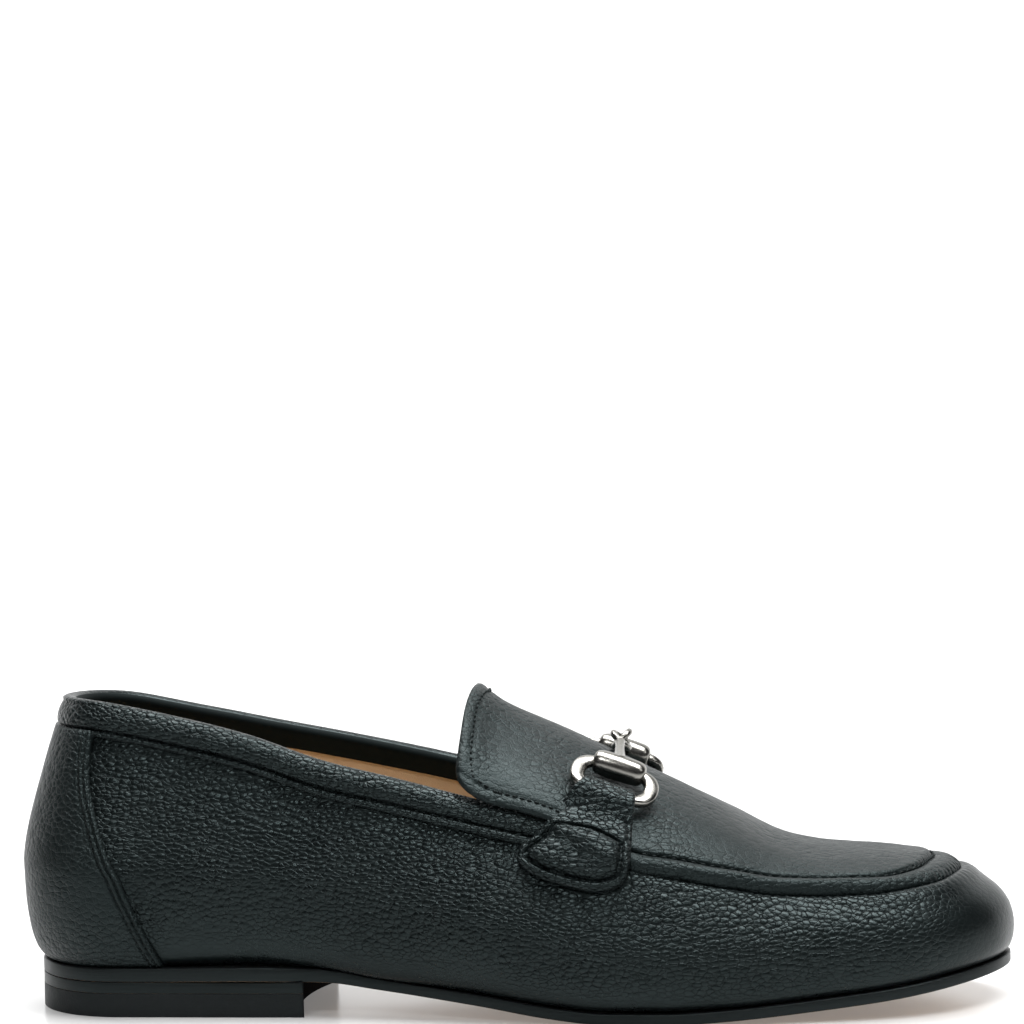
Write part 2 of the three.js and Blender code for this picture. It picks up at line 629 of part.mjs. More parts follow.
function collarBand() {
  const reach = ribAt(COLLAR_FRONT, 1);
  const steps = 14;
  const rings = range(2 * steps + 1).map((k) => {
    const q = (reach * (k - steps)) / steps;
    return COLLAR_SECTION.map(([down, height]) => collarPoint(q, down, height));
  });
  return loft(rings, COLLAR_SECTION.map(([down, height]) => new THREE.Vector2(down, height)));
}

// Bead on the apron's edge: from is a share of BEAD_WIDTH, height a share of BEAD_HEIGHT.
const BEAD = [
  { from: 0.00, height: 0.00 },
  { from: 0.12, height: 0.75 },
  { from: 0.35, height: 1.00 },
  { from: 0.62, height: 0.95 },
  { from: 0.85, height: 0.50 },
  { from: 1.00, height: -0.35 },
  { from: 1.20, height: 0.00 },
];
const BEAD_END = BEAD[BEAD.length - 1].from * BEAD_WIDTH;
const EDGE_ROUNDED = 0.35;     // share of the apron's thickness that its edge is rounded by
const TIP_CORNER = 0.72;       // where the rounding of the tongue's corners starts, from its middle out

// Apron and tongue in one piece. Its edge carries a raised bead over the vamp, and the tongue's edge
// passes over the collar band. grow makes it larger all round, to cut room for it in its neighbours.
function apronTongue(grow = 0) {
  const inside = 3;
  const rows = 20;
  const places = [
    ...BEAD.map(({ from, height }) => ({ distance: from * BEAD_WIDTH, height })),
    ...range(inside).map((i) => ({ share: (i + 1) / inside, height: 0 })),
  ];
  const across = [
    ...places.map((place) => ({ ...place, side: -1 })),
    ...places.slice(0, -1).reverse().map((place) => ({ ...place, side: 1 })),
  ];
  const middle = (across.length - 1) / 2;
  const tipAt = (w) => {
    const corner = max(w - TIP_CORNER, 0) / (1 - TIP_CORNER);
    return TONGUE_TIP - TIP_BOW * sin(PI * min(w, 0.5)) + TIP_ROUND * (1 - sqrt(1 - corner ** 2));
  };
  const point = (place, row, w, outer) => {
    const tip = ribAt(tipAt(w) - grow / LENGTH, 1);
    const q = place.side * (row === 0 ? tip : mix(ribAt(TONGUE_TIP, 1), 1, row / rows));
    const at = shareOf(q);
    const edge = apron.up(at);
    const inwards = place.share ? mix(walk(q, edge, BEAD_END), 1, place.share) : 0;
    const up = inwards || walk(q, edge, place.distance || -grow);
    const lift = SEAT_GAP + apron.lift(at) * ease(1 - (place.share ?? 0), 0, 1) * (COLLAR_PUFF + GAP);
    if (!outer) return over(q, up, lift - grow);
    const rounded = place.distance === 0 ? EDGE_ROUNDED * APRON : 0;
    const bead = max(apron.bead(at), 0) * place.height * BEAD_HEIGHT;
    return over(q, up, lift + APRON + bead - rounded + grow);
  };
  const grid = (outer) => range(rows + 1).map((row) => across.map((place, j) => (
    point(place, row, abs(j - middle) / middle, outer)
  )));
  return sheet(grid(true), grid(false), true);
}

// Distance from a point to an outline
function distanceTo(outline, point) {
  const nearest = new THREE.Vector3();
  const segment = new THREE.Line3();
  return outline.reduce((least, start, i) => {
    segment.set(start, outline[(i + 1) % outline.length]);
    segment.closestPointToPoint(point, true, nearest);
    return min(least, nearest.distanceTo(point));
  }, Infinity);
}

// Strap: folded round the ring of the bit, lying over the apron's edge, with a padded round end on the vamp.
// row is 0 at the fold and 1 at the round end, and the shares of a row tell where its steps are.
const STRAP_CLIMB = 5;         // length over which the strap climbs onto the apron
const STRAP_GROOVE = 0.45;     // stitched groove round the pad
const STRAP_EDGE = 0.6;        // rounding of the strap's edge
const PAD_RISE = 2;            // length over which the pad rises from its groove
const GROOVE_OUT = 1.6;        // width of the groove on the side of the rim
const GROOVE_IN = 0.8;         // and on the side of the pad
const STRAP_ACROSS = [0, 0.08, 0.16, 0.3, 0.5, 0.7, 0.84, 0.92, 1];
const STRAP_ROWS = [0, 0.06, 0.16, 0.3, 0.42, 0.52, 0.62, 0.72, 0.81, 0.88, 0.94, 1];
const FOLD_END = 0.28;         // where the loop round the ring ends
const PAD_START = 0.42;        // where the padding starts
const PAD_FULL = 0.54;         // and where it is full

function strap(side, grow = 0) {
  const place = (row, across) => {
    const wider = (2 * across - 1) * (grow / LENGTH);
    return [ribAt(mix(strapAt.rear(row), strapAt.front(row), across) + wider, side), strapAt.up(row)];
  };
  const outline = range(25).map((i) => i / 24);
  const rim = [
    ...outline.map((row) => skin(...place(row, 0))),
    ...outline.toReversed().map((row) => skin(...place(row, 1))),
  ];
  const grid = (outer) => STRAP_ROWS.map((row) => STRAP_ACROSS.map((across) => {
    const [q, up] = place(row, across);
    const inside = distanceTo(rim, skin(q, up));
    const onApron = walkedFrom(q, apron.up(shareOf(q)), up);
    const base = SEAT_GAP + (APRON + SEAT_GAP) * ease(onApron, -STRAP_CLIMB, 0);
    if (!outer) return over(q, up, base - grow);
    const loop = (1 - ease(row, 0, FOLD_END)) * (2 * WIRE_THICK + STRAP / 2);
    const padded = ease(row, PAD_START, PAD_FULL);
    const pad = STRAP_PAD * ease(inside, STRAP_RIM - STRAP_EDGE, STRAP_RIM + PAD_RISE);
    const groove = STRAP_GROOVE * ease(inside, STRAP_RIM - GROOVE_OUT, STRAP_RIM - STRAP_EDGE);
    const filled = ease(inside, STRAP_RIM - STRAP_EDGE, STRAP_RIM + GROOVE_IN);
    const stitched = padded * (pad - groove * (1 - filled));
    const edge = STRAP_EDGE * (1 - ease(inside, 0, 1.5 * STRAP_EDGE));
    return over(q, up, base + STRAP + stitched + loop / (row === 0 ? 2 : 1) - edge + grow);
  }));
  return solid(sheet(grid(true), grid(false)));
}

// Bit: a ring on each side that passes through the strap and through the barrel of its bar. The barrel's
// profile is in shares of its radius and of half its length.
const BARREL_PROFILE = [
  [0, -1], [0.45, -0.98], [0.76, -0.91], [0.94, -0.78], [1.01, -0.55], [1.05, 0],
  [1.01, 0.55], [0.94, 0.78], [0.76, 0.91], [0.45, 0.98], [0, 1],
];

function bitFrame(side) {
  const q = ribAt(side > 0 ? BIT_AT - BIT_SLANT : BIT_AT, side);
  const wireHeight = SEAT_GAP + APRON + BIT_CLEAR + WIRE_THICK;
  const barrel = over(q, RING_BARREL, wireHeight + BARREL_ROUND - WIRE_THICK + GAP);
  const fold = over(q, RING_FOLD, wireHeight + STRAP / 2);
  const toFold = fold.clone().sub(barrel);
  const step = side * 0.01;
  const between = mix(RING_FOLD, RING_BARREL, 0.5);
  const shoeward = skin(q + step, between).sub(skin(q - step, between)).normalize();
  const across = toFold.clone().normalize();
  const along = shoeward.addScaledVector(across, -shoeward.dot(across)).normalize();
  const flat = new THREE.Vector3().crossVectors(along, across).normalize();
  const centre = barrel.clone().add(fold).multiplyScalar(0.5);
  const middle = over(ribAt(BIT_AT - BIT_SLANT / 2, side), 1, SEAT_GAP + APRON + GAP + EYE + EYE_WIRE / 2);
  return { barrel, along, across, flat, centre, half: toFold.length() / 2, middle };
}

function ringSolid(frame, grow = 0) {
  const steps = 28;
  const power = 2 / RING_SQUARE;
  const squared = (share) => sign(share) * abs(share) ** power;
  const rings = range(steps).map((k) => {
    const turn = (2 * PI * k) / steps;
    const x = squared(cos(turn)) * RING_LONG;
    const y = squared(sin(turn)) * frame.half;
    const spread = ease(abs(x) / RING_LONG, 0.55, 0.98);
    const wide = mix(WIRE_NARROW, WIRE_WIDE, spread) + grow;
    const { along, across, flat, centre } = frame;
    const out = along.clone().multiplyScalar(x / RING_LONG ** 2);
    out.addScaledVector(across, y / frame.half ** 2).normalize();
    const here = centre.clone().addScaledVector(along, x).addScaledVector(across, y);
    return range(8).map((j) => {
      const a = (2 * PI * j) / 8;
      const point = here.clone().addScaledVector(out, cos(a) * wide);
      return point.addScaledVector(flat, sin(a) * (WIRE_THICK + grow));
    });
  });
  return solid(loft(rings));
}

// A mesh's geometry moved so that its own Y axis points along a direction.
function aimed(geometry, direction, place) {
  const own = new THREE.Vector3(0, 1, 0);
  const turn = new THREE.Quaternion().setFromUnitVectors(own, direction.clone().normalize());
  return geometry.applyQuaternion(turn).translate(place.x, place.y, place.z);
}

// Barrel, neck and eye of a bar. The eyes of the two bars lean and hold each other over the crest.
function barSolid(frame, side) {
  const profile = BARREL_PROFILE.map(([r, y]) => new THREE.Vector2(r * BARREL_ROUND, y * BARREL_LONG));
  const axis = frame.barrel.clone().addScaledVector(frame.across, BARREL_ROUND / 5);
  const barrel = solid(aimed(new THREE.LatheGeometry(profile, 12), frame.along, axis));
  const inward = new THREE.Vector3(0, side, 0);
  const eyeCentre = frame.middle.clone().addScaledVector(inward, EYE / 2);
  const eye = new THREE.TorusGeometry(EYE, EYE_WIRE, 6, 14).rotateY(PI / 2 + (side * PI) / 4);
  const link = solid(eye.translate(eyeCentre.x, eyeCentre.y, eyeCentre.z));
  const neckEnd = eyeCentre.clone().addScaledVector(inward, EYE);
  const path = neckEnd.clone().sub(axis);
  const cone = new THREE.CylinderGeometry(EYE_WIRE, NECK_ROUND, path.length(), 8);
  const neck = solid(aimed(cone, path, axis.clone().add(neckEnd).multiplyScalar(0.5)));
  return barrel.add(neck).subtract(ringSolid(frame, RING_GAP)).add(link);
}

// The shoe
const shoe = new THREE.Group();
const addPiece = (name, geometry, material) => {
  const mesh = new THREE.Mesh(geometry, material);
  mesh.name = name;
  shoe.add(mesh);
};

addPiece('outsole', outsole(), soleLeather);
addPiece('heel_lift', heelLayer(HEEL_HEIGHT - GAP - LIFT, HEEL_HEIGHT - GAP), soleLeather);
addPiece('heel_top_piece', heelLayer(0, HEEL_HEIGHT - 2 * GAP - LIFT), heelRubber);
addPiece('insole', insole(), insoleLeather);
addPiece('upper', upper(), grainLeather);
const upperRoom = solid(upper(GAP));
addPiece('heel_counter', bodyOf(solid(heelCounter()).subtract(upperRoom)), smoothLeather);
addPiece('apron_tongue', bodyOf(solid(apronTongue()).subtract(upperRoom)), smoothLeather);

const apronRoom = solid(apronTongue(RING_GAP));
const sides = { lateral: -1, medial: 1 };
let collar = solid(collarBand()).subtract(apronRoom).subtract(upperRoom);
for (const [name, side] of Object.entries(sides)) {
  const frame = bitFrame(side);
  collar = collar.subtract(strap(side, GAP));
  const body = strap(side).subtract(ringSolid(frame, RING_GAP)).subtract(apronRoom).subtract(upperRoom);
  addPiece(`strap_${name}`, bodyOf(body), grainLeather);
  addPiece(`bit_ring_${name}`, bodyOf(ringSolid(frame)), bitMetal);
  addPiece(`bit_bar_${name}`, bodyOf(barSolid(frame, side)), bitMetal);
}
addPiece('collar_band', bodyOf(collar), grainLeather);

// The origin lies on the ground under the middle of the shoe.
const box = new THREE.Box3().setFromObject(shoe);
shoe.position.set(-(box.min.x + box.max.x) / 2, -(box.min.y + box.max.y) / 2, -box.min.z);

export default shoe;
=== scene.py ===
"""Looks of a snaffle bit loafer for the right foot.

The leather lies on the same surface of ribs as the solids: a rib starts on the feather edge, where the upper
meets the sole, and climbs to the crest. q numbers the ribs round the shoe (0 heel, -0.5 outer side, 0.5
inner side, 1 and -1 toe) and up is the share of a rib. Lengths are in millimetres until a mesh is made.
"""

import bmesh
import bpy
import numpy as np
from mathutils import Matrix, Vector


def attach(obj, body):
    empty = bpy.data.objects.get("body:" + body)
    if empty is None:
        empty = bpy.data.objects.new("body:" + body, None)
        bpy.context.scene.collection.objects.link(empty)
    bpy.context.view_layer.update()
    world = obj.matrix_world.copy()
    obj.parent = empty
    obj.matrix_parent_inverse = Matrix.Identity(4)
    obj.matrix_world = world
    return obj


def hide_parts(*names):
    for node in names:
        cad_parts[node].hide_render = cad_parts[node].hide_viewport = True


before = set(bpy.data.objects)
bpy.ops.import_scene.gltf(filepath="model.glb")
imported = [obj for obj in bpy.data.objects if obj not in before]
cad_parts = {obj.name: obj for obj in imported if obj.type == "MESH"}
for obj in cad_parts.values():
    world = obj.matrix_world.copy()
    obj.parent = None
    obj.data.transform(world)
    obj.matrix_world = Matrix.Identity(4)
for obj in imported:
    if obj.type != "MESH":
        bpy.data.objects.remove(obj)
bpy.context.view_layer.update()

# Sizes of the shoe, as in the solids
LENGTH = 291.0
BALL_WIDTH = 92.0
SEAT_WIDTH = 64.0
INSTEP_HEIGHT = 90.0
BACK_HEIGHT = 89.5
SWELL = 5.0
SWELL_HEIGHT = 24.0
HEEL_END = 34.0
TOE_END = 44.5
HEEL_INSET = 6.8
TOE_INSET = 2.2
GAP = 0.3
SEAT_GAP = 0.6
WALL = 1.8
MARGIN = 8.0
TURN = 2.5
COUNTER = 1.3
APRON = 1.4
STRAP = 2.2
STRAP_PAD = 1.4
STRAP_RIM = 3.4
COLLAR_DEPTH = 9.0
COLLAR_PUFF = 2.7
COLLAR_LINING = 6.0
COLLAR_RISE = 1.9
COLLAR_INSIDE = 1.5
HEEL_HEIGHT = 10.2
LIFT = 3.0
HEEL_LENGTH = 88.0
BREAST_HOLLOW = 5.0
SEAT_EDGE = 4.0
SOLE_EDGE = 3.2
TOE_SPRING = 10.4
WELT = 1.2
INSOLE = 2.0
BIT_AT = 0.605
BIT_SLANT = 0.007
RING_LONG = 10.9
RING_SQUARE = 2.6
RING_FOLD = 0.742
RING_BARREL = 0.835
WIRE_THICK = 1.5
WIRE_NARROW = 1.3
WIRE_WIDE = 2.2
BARREL_LONG = 8.0
BARREL_ROUND = 3.25
NECK_ROUND = 1.9
EYE = 3.0
EYE_WIRE = 1.05
BIT_CLEAR = 0.9
CLAMP_SOFT = 7.0
WIDEST = 0.35
PLAN_ROUND = 2.1

# Sewing, relief and shine of the leather
COUNTER_ROWS = (1.6, 3.4)
PLEAT = 2.45
BEAD_STITCH = 5.78
BEAD_PITCH = 2.8
TONGUE_STITCH = 3.5
TIP_STITCH = 3.6
STRAP_RUN = 46.0
STRAP_MIDDLE = 170.0
LEATHER_SHINE = 0.26
EDGE_SHINE = 0.22

# Sides of the shoe by the sign of q: the word in a piece's name, and the one in a node's
SIDES = ((-1, "outer"), (1, "inner"))
NODE_SIDES = {-1: "lateral", 1: "medial"}

# Middle of the shoe's box and the ground, seen from the back of the heel
ORIGIN = np.array([145.3248, -0.9941, 0.0])

# at, ball, lateral, medial, swellL, swellM, shift, crest, rise, stand, over
LAST = np.array([
    [0.00, 0.00, 0.469, 0.469, 1.04, 1.04, 0.000, 1.389, 1.19, 0.15, 0.30],
    [0.12, 0.00, 0.492, 0.492, 0.90, 0.90, 0.000, 1.400, 1.08, 0.15, 0.33],
    [0.22, 0.00, 0.500, 0.484, 0.90, 1.00, 0.005, 1.422, 1.00, 0.17, 0.38],
    [0.32, 0.35, 0.440, 0.373, 1.00, 1.40, 0.016, 1.356, 1.00, 0.20, 0.40],
    [0.40, 0.60, 0.433, 0.322, 1.10, 1.80, 0.027, 1.189, 0.92, 0.28, 0.42],
    [0.47, 0.80, 0.457, 0.336, 1.00, 1.60, 0.038, 0.989, 0.79, 0.34, 0.45],
    [0.56, 1.00, 0.489, 0.391, 0.80, 1.10, 0.049, 0.844, 0.67, 0.42, 0.50],
    [0.64, 1.00, 0.516, 0.451, 0.60, 0.80, 0.049, 0.717, 0.58, 0.48, 0.55],
    [0.72, 1.00, 0.505, 0.495, 0.52, 0.56, 0.046, 0.587, 0.50, 0.54, 0.60],
    [0.76, 1.00, 0.489, 0.498, 0.48, 0.50, 0.043, 0.518, 0.46, 0.56, 0.64],
    [0.80, 1.00, 0.467, 0.489, 0.46, 0.46, 0.041, 0.484, 0.44, 0.58, 0.66],
    [0.86, 1.00, 0.424, 0.462, 0.42, 0.42, 0.038, 0.467, 0.42, 0.60, 0.68],
    [1.00, 1.00, 0.348, 0.413, 0.40, 0.40, 0.033, 0.444, 0.33, 0.62, 0.68],
])

# at, block, spring, seat, out
SOLE = np.array([
    [0.00, 1.00, 0.00, 1.0, 1.25],
    [0.14, 1.00, 0.00, 1.0, 1.25],
    [0.29, 1.00, 0.00, 1.0, 1.10],
    [0.33, 0.92, 0.00, 0.7, -1.60],
    [0.37, 0.75, 0.00, 0.2, -2.40],
    [0.42, 0.60, 0.00, 0.0, -1.00],
    [0.48, 0.41, 0.00, 0.0, 0.20],
    [0.54, 0.17, 0.00, 0.0, 0.80],
    [0.60, 0.00, 0.00, 0.0, 0.90],
    [0.67, 0.00, 0.00, 0.0, 0.90],
    [0.72, 0.00, 0.08, 0.0, 0.90],
    [0.80, 0.00, 0.28, 0.0, 0.90],
    [0.90, 0.00, 0.58, 0.0, 0.90],
    [1.00, 0.00, 1.00, 0.0, 0.90],
])

# at, lateral, medial
TOPLINE = np.array([
    [0.00, 1.000, 1.000],
    [0.09, 0.990, 0.978],
    [0.18, 0.940, 0.922],
    [0.25, 0.884, 0.874],
    [0.32, 0.807, 0.830],
    [0.40, 0.744, 0.776],
    [0.47, 0.684, 0.723],
    [0.53, 0.637, 0.671],
    [0.62, 0.570, 0.600],
])
THROAT = (0.56, 0.615)
COLLAR_FRONT = 0.56

# up, at
COUNTER_FRONT = np.array([
    [0.00, 0.163], [0.10, 0.159], [0.26, 0.141], [0.35, 0.125], [0.48, 0.103], [0.57, 0.086], [0.70, 0.083],
])

# at, up, bead, lift
APRON_EDGE = np.array([
    [0.450, 0.650, 0, 1.0],
    [0.480, 0.641, 0, 1.0],
    [0.520, 0.645, 0, 1.0],
    [0.555, 0.640, 0, 1.0],
    [0.595, 0.612, 0, 0.2],
    [0.632, 0.592, 1, 0.0],
    [0.674, 0.602, 1, 0.0],
    [0.712, 0.610, 1, 0.0],
    [0.751, 0.631, 1, 0.0],
    [0.792, 0.646, 1, 0.0],
    [0.834, 0.653, 1, 0.0],
    [0.884, 0.653, 1, 0.0],
    [0.921, 0.668, 1, 0.0],
    [0.953, 0.687, 1, 0.0],
    [0.976, 0.713, 1, 0.0],
    [1.000, 0.734, 1, 0.0],
])
TONGUE_TIP = 0.462
TIP_BOW = 0.008
TIP_ROUND = 0.022
TIP_CORNER = 0.72

# row, up, rear, front
STRAP_OUTLINE = np.array([
    [0.00, 0.772, 0.582, 0.626],
    [0.20, 0.710, 0.564, 0.628],
    [0.38, 0.650, 0.549, 0.6295],
    [0.50, 0.613, 0.538, 0.6295],
    [0.60, 0.587, 0.526, 0.629],
    [0.70, 0.564, 0.521, 0.627],
    [0.80, 0.542, 0.521, 0.6195],
    [0.88, 0.529, 0.530, 0.610],
    [0.95, 0.519, 0.545, 0.5965],
    [1.00, 0.515, 0.565, 0.582],
])


def column(table, index):
    """A table's column as a smooth function of its first column: a cubic between neighbouring rows that
    leaves each row with the slope of the parabola through it and its neighbours."""
    x, y = table[:, 0], table[:, index]
    slope = np.gradient(y, x)

    def value(at):
        at = np.clip(at, x[0], x[-1])
        i = np.clip(np.searchsorted(x, at, side="right") - 1, 0, len(x) - 2)
        step = x[i + 1] - x[i]
        t = (at - x[i]) / step
        rise = y[i + 1] - y[i]
        bend = (1 - t) * (step * slope[i] - rise) - t * (step * slope[i + 1] - rise)
        return y[i] + rise * t + t * (1 - t) * bend

    return value


last = {name: column(LAST, k + 1) for k, name in enumerate(
    "ball lateral medial swellL swellM shift crest rise stand over".split())}
block, spring, seat, out_share = (column(SOLE, k) for k in (1, 2, 3, 4))
topline_lateral, topline_medial = column(TOPLINE, 1), column(TOPLINE, 2)
counter_front = column(COUNTER_FRONT, 1)
apron_up, apron_bead, apron_lift = (column(APRON_EDGE, k) for k in (1, 2, 3))
strap_up, strap_rear, strap_front = (column(STRAP_OUTLINE, k) for k in (1, 2, 3))


def ease(x, low, high):
    """0 below low, 1 above high, and a smooth S between."""
    t = np.clip((x - low) / (high - low), 0, 1)
    return t * t * (3 - 2 * t)


def mix(a, b, t):
    """a at t = 0, b at t = 1, and a straight line between."""
    return a + (b - a) * t


def unit(v):
    """Vectors drawn to a length of 1."""
    return v / np.maximum(np.linalg.norm(v, axis=-1, keepdims=True), 1e-12)


def sole_under(at):
    """Height of the sole's underside: on the heel block behind, and lifted by the toe spring in front."""
    return np.maximum(block(at) * HEEL_HEIGHT + spring(at) * TOE_SPRING, 0)


def sole_top(at):
    """Height of the sole's upper face: its edge is thicker at the seat."""
    return sole_under(at) + mix(SOLE_EDGE, SEAT_EDGE, np.clip(seat(at), 0, 1))


FEATHER_LENGTH = LENGTH - HEEL_INSET - TOE_INSET


def share_of(q):
    """Share of the length at which a rib stands: cosine spacing from the heel to the toe."""
    return (HEEL_INSET + FEATHER_LENGTH * (1 - np.cos(np.pi * np.abs(q))) / 2) / LENGTH


def rib_at(at, side=1):
    """Rib at a share of the length, on one side: share_of turned round."""
    return side * np.arccos(np.clip(1 - 2 * (at * LENGTH - HEEL_INSET) / FEATHER_LENGTH, -1, 1)) / np.pi


def crest_at(x):
    """The crest under a place x: x is held softly between the centres of the heel and the toe."""
    soft = np.logaddexp(0, (HEEL_END - x) / CLAMP_SOFT) - np.logaddexp(0, (x - LENGTH + TOE_END) / CLAMP_SOFT)
    along = x + CLAMP_SOFT * soft
    at = along / LENGTH
    step = 0.003
    slope = (last["crest"](at + step) - last["crest"](at - step)) * INSTEP_HEIGHT / (2 * step * LENGTH)
    return along, last["shift"](at) * BALL_WIDTH, last["crest"](at) * INSTEP_HEIGHT, slope


def rib(q):
    """A rib's foot, crest and direction in plan; the plan is a middle line and two halves with round ends."""
    q = np.where(q > 1, q - 2, np.where(q < -1, q + 2, q))
    at = share_of(q)
    x = at * LENGTH
    cx, cy, cz, slope = crest_at(x)
    width = mix(SEAT_WIDTH, BALL_WIDTH, last["ball"](at))
    heel = np.clip((HEEL_END - x) / (HEEL_END - HEEL_INSET), 0, 1)
    toe = np.clip((x - LENGTH + TOE_END) / (TOE_END - TOE_INSET), 0, 1)
    ends = np.sqrt(np.maximum(1 - heel ** PLAN_ROUND, 0)) * np.sqrt(np.maximum(1 - toe ** PLAN_ROUND, 0))
    middle = width * (last["medial"](at) - last["lateral"](at)) / 2
    half = width * (last["medial"](at) + last["lateral"](at)) / 2
    y = middle + np.where(q < 0, -1, 1) * half * ends
    reach = np.hypot(x - cx, y - cy)
    across = (y - cy) / reach
    swell = SWELL * mix(last["swellM"](at), last["swellL"](at), (1 - across) / 2)
    along = (x - cx) / reach
    return dict(at=at, cx=cx, cy=cy, cz=cz, slope=slope, reach=reach, along=along, across=across, swell=swell)


def bezier(t, a, b, c, d):
    """A cubic from a to d whose ends point at b and c."""
    s = 1 - t
    return s ** 3 * a + 3 * s * s * t * b + 3 * s * t * t * c + t ** 3 * d


def on_rib(r, up):
    """A point of a rib: one cubic from the feather edge out to the widest place, one from there to the
    crest, and a flat lasting margin where up is negative."""
    footing = r["reach"] - TURN + np.minimum(up, 0) * MARGIN
    floor = sole_top((r["cx"] + r["along"] * footing) / LENGTH) + GAP
    wide = r["reach"] + r["swell"]
    rise = last["rise"](r["at"]) * SWELL_HEIGHT
    t = np.clip(up, 0, WIDEST) / WIDEST
    low_out = bezier(t, r["reach"] - TURN, r["reach"] + 0.3 * r["swell"], wide, wide)
    low_out = low_out + np.minimum(up, 0) * MARGIN
    low_z = bezier(t, floor, floor, floor + 0.35 * rise, floor + rise)
    t = np.clip((up - WIDEST) / (1 - WIDEST), 0, 1)
    base = floor + rise
    shoulder = base + last["stand"](r["at"]) * (r["cz"] - base)
    over = wide * last["over"](r["at"])
    high_out = bezier(t, wide, wide, over, 0)
    high_z = bezier(t, base, shoulder, r["cz"] + r["slope"] * r["along"] * over, r["cz"])
    low = up < WIDEST
    out = np.where(low, low_out, high_out)
    z = np.where(low, low_z, high_z)
    return np.stack(np.broadcast_arrays(r["cx"] + r["along"] * out, r["cy"] + r["across"] * out, z), -1)


def skin(q, up):
    """Points of the leather's smooth surface."""
    return on_rib(rib(q), up)


def outward(q, up):
    """Normal of the surface, from differences along and across the ribs; upright on the crest."""
    step = 0.002
    q, up = np.broadcast_arrays(q, up)
    round_ = skin(q + step, up) - skin(q - step, up)
    climb = skin(q, np.minimum(up + step, 1)) - skin(q, np.maximum(up - step, 0))
    normal = unit(np.cross(climb, round_))
    slope = rib(q)["slope"]
    crest = unit(np.stack([-slope, np.zeros_like(slope), np.ones_like(slope)], -1))
    normal = np.where((up >= 1)[..., None], crest, normal)
    return np.where((up < 0)[..., None], [0.0, 0.0, -1.0], normal)


def over(q, up, height):
    """Points at heights over the smooth surface, along its normals."""
    return skin(q, up) + outward(q, up) * np.asarray(height)[..., None]


def rim_of(q):
    """Share of each rib at the topline's height, by halving."""
    r = rib(q)
    height = BACK_HEIGHT * mix(topline_medial(r["at"]), topline_lateral(r["at"]), (1 - r["across"]) / 2)
    low, high = np.full_like(height, WIDEST), np.ones_like(height)
    for _ in range(24):
        middle = (low + high) / 2
        under = on_rib(r, middle)[..., 2] < height
        low, high = np.where(under, middle, low), np.where(under, high, middle)
    return low


TICKS = 160


def climbed(q):
    """Lengths climbed along each rib from its foot, at its ticks. q is one row of ribs."""
    points = skin(q[:, None], np.linspace(0, 1, TICKS + 1))
    steps = np.linalg.norm(np.diff(points, axis=1), axis=-1)
    return np.concatenate([np.zeros((len(q), 1)), np.cumsum(steps, axis=1)], axis=1)


def length_at(lengths, up):
    """Length climbed at shares up, one row of them for each rib."""
    place = np.clip(up, 0, 1) * TICKS
    low = np.minimum(place.astype(int), TICKS - 1)
    here = np.take_along_axis(lengths, low, 1)
    return here + (np.take_along_axis(lengths, low + 1, 1) - here) * (place - low)


def share_at(lengths, target):
    """Share of a rib at a length climbed, one row of them for each rib."""
    low = np.clip((lengths[:, None, :] <= target[:, :, None]).sum(-1) - 1, 0, TICKS - 1)
    here = np.take_along_axis(lengths, low, 1)
    step = np.take_along_axis(lengths, low + 1, 1) - here
    return np.clip((low + (target - here) / np.maximum(step, 1e-9)) / TICKS, 0, 1)


def walk(q, start, distance):
    """Shares of ribs that lie a distance up from a start, along each rib. All are one row."""
    lengths = climbed(q)
    return share_at(lengths, length_at(lengths, start[:, None]) + np.reshape(distance, (-1, 1)))[:, 0]


# Seeded noise on a repeating lattice
CELLS = 32
LATTICE = np.random.default_rng(7).random((CELLS, CELLS, CELLS, 3))
LATTICE_START = 13.7


def noise(points, size, kind=0):
    """Smooth noise from -1 to 1 with lumps of a size in millimetres: the eight corners of a lattice cell
    blended by an S-curve on each axis."""
    p = points / size + LATTICE_START
    cell = np.floor(p).astype(int)
    t = p - cell
    t = t * t * (3 - 2 * t)
    total = 0
    for dx in (0, 1):
        for dy in (0, 1):
            for dz in (0, 1):
                corner = (cell + [dx, dy, dz]) % CELLS
                weight = np.abs(1 - dx - t[..., 0]) * np.abs(1 - dy - t[..., 1]) * np.abs(1 - dz - t[..., 2])
                total = total + weight * LATTICE[corner[..., 0], corner[..., 1], corner[..., 2], kind]
    return 2 * total - 1


# Meshes
def grid_faces(rows, columns, wrap_rows=False, wrap_columns=False):
    """Corner numbers of the quads between neighbouring points of a grid."""
    i = np.arange(rows if wrap_rows else rows - 1)[:, None]
    j = np.arange(columns if wrap_columns else columns - 1)[None, :]
    a = i * columns + j
    b = i * columns + (j + 1) % columns
    c = (i + 1) % rows * columns + (j + 1) % columns
    d = (i + 1) % rows * columns + j
    return np.stack([a, b, c, d], -1).reshape(-1, 4)


def volume_of(points, faces):
    """Six times the volume inside quads that face outwards."""
    a, b, c, d = (points[faces[:, k]] for k in range(4))
    return (np.cross(a, b) * c).sum() + (np.cross(a, c) * d).sum()


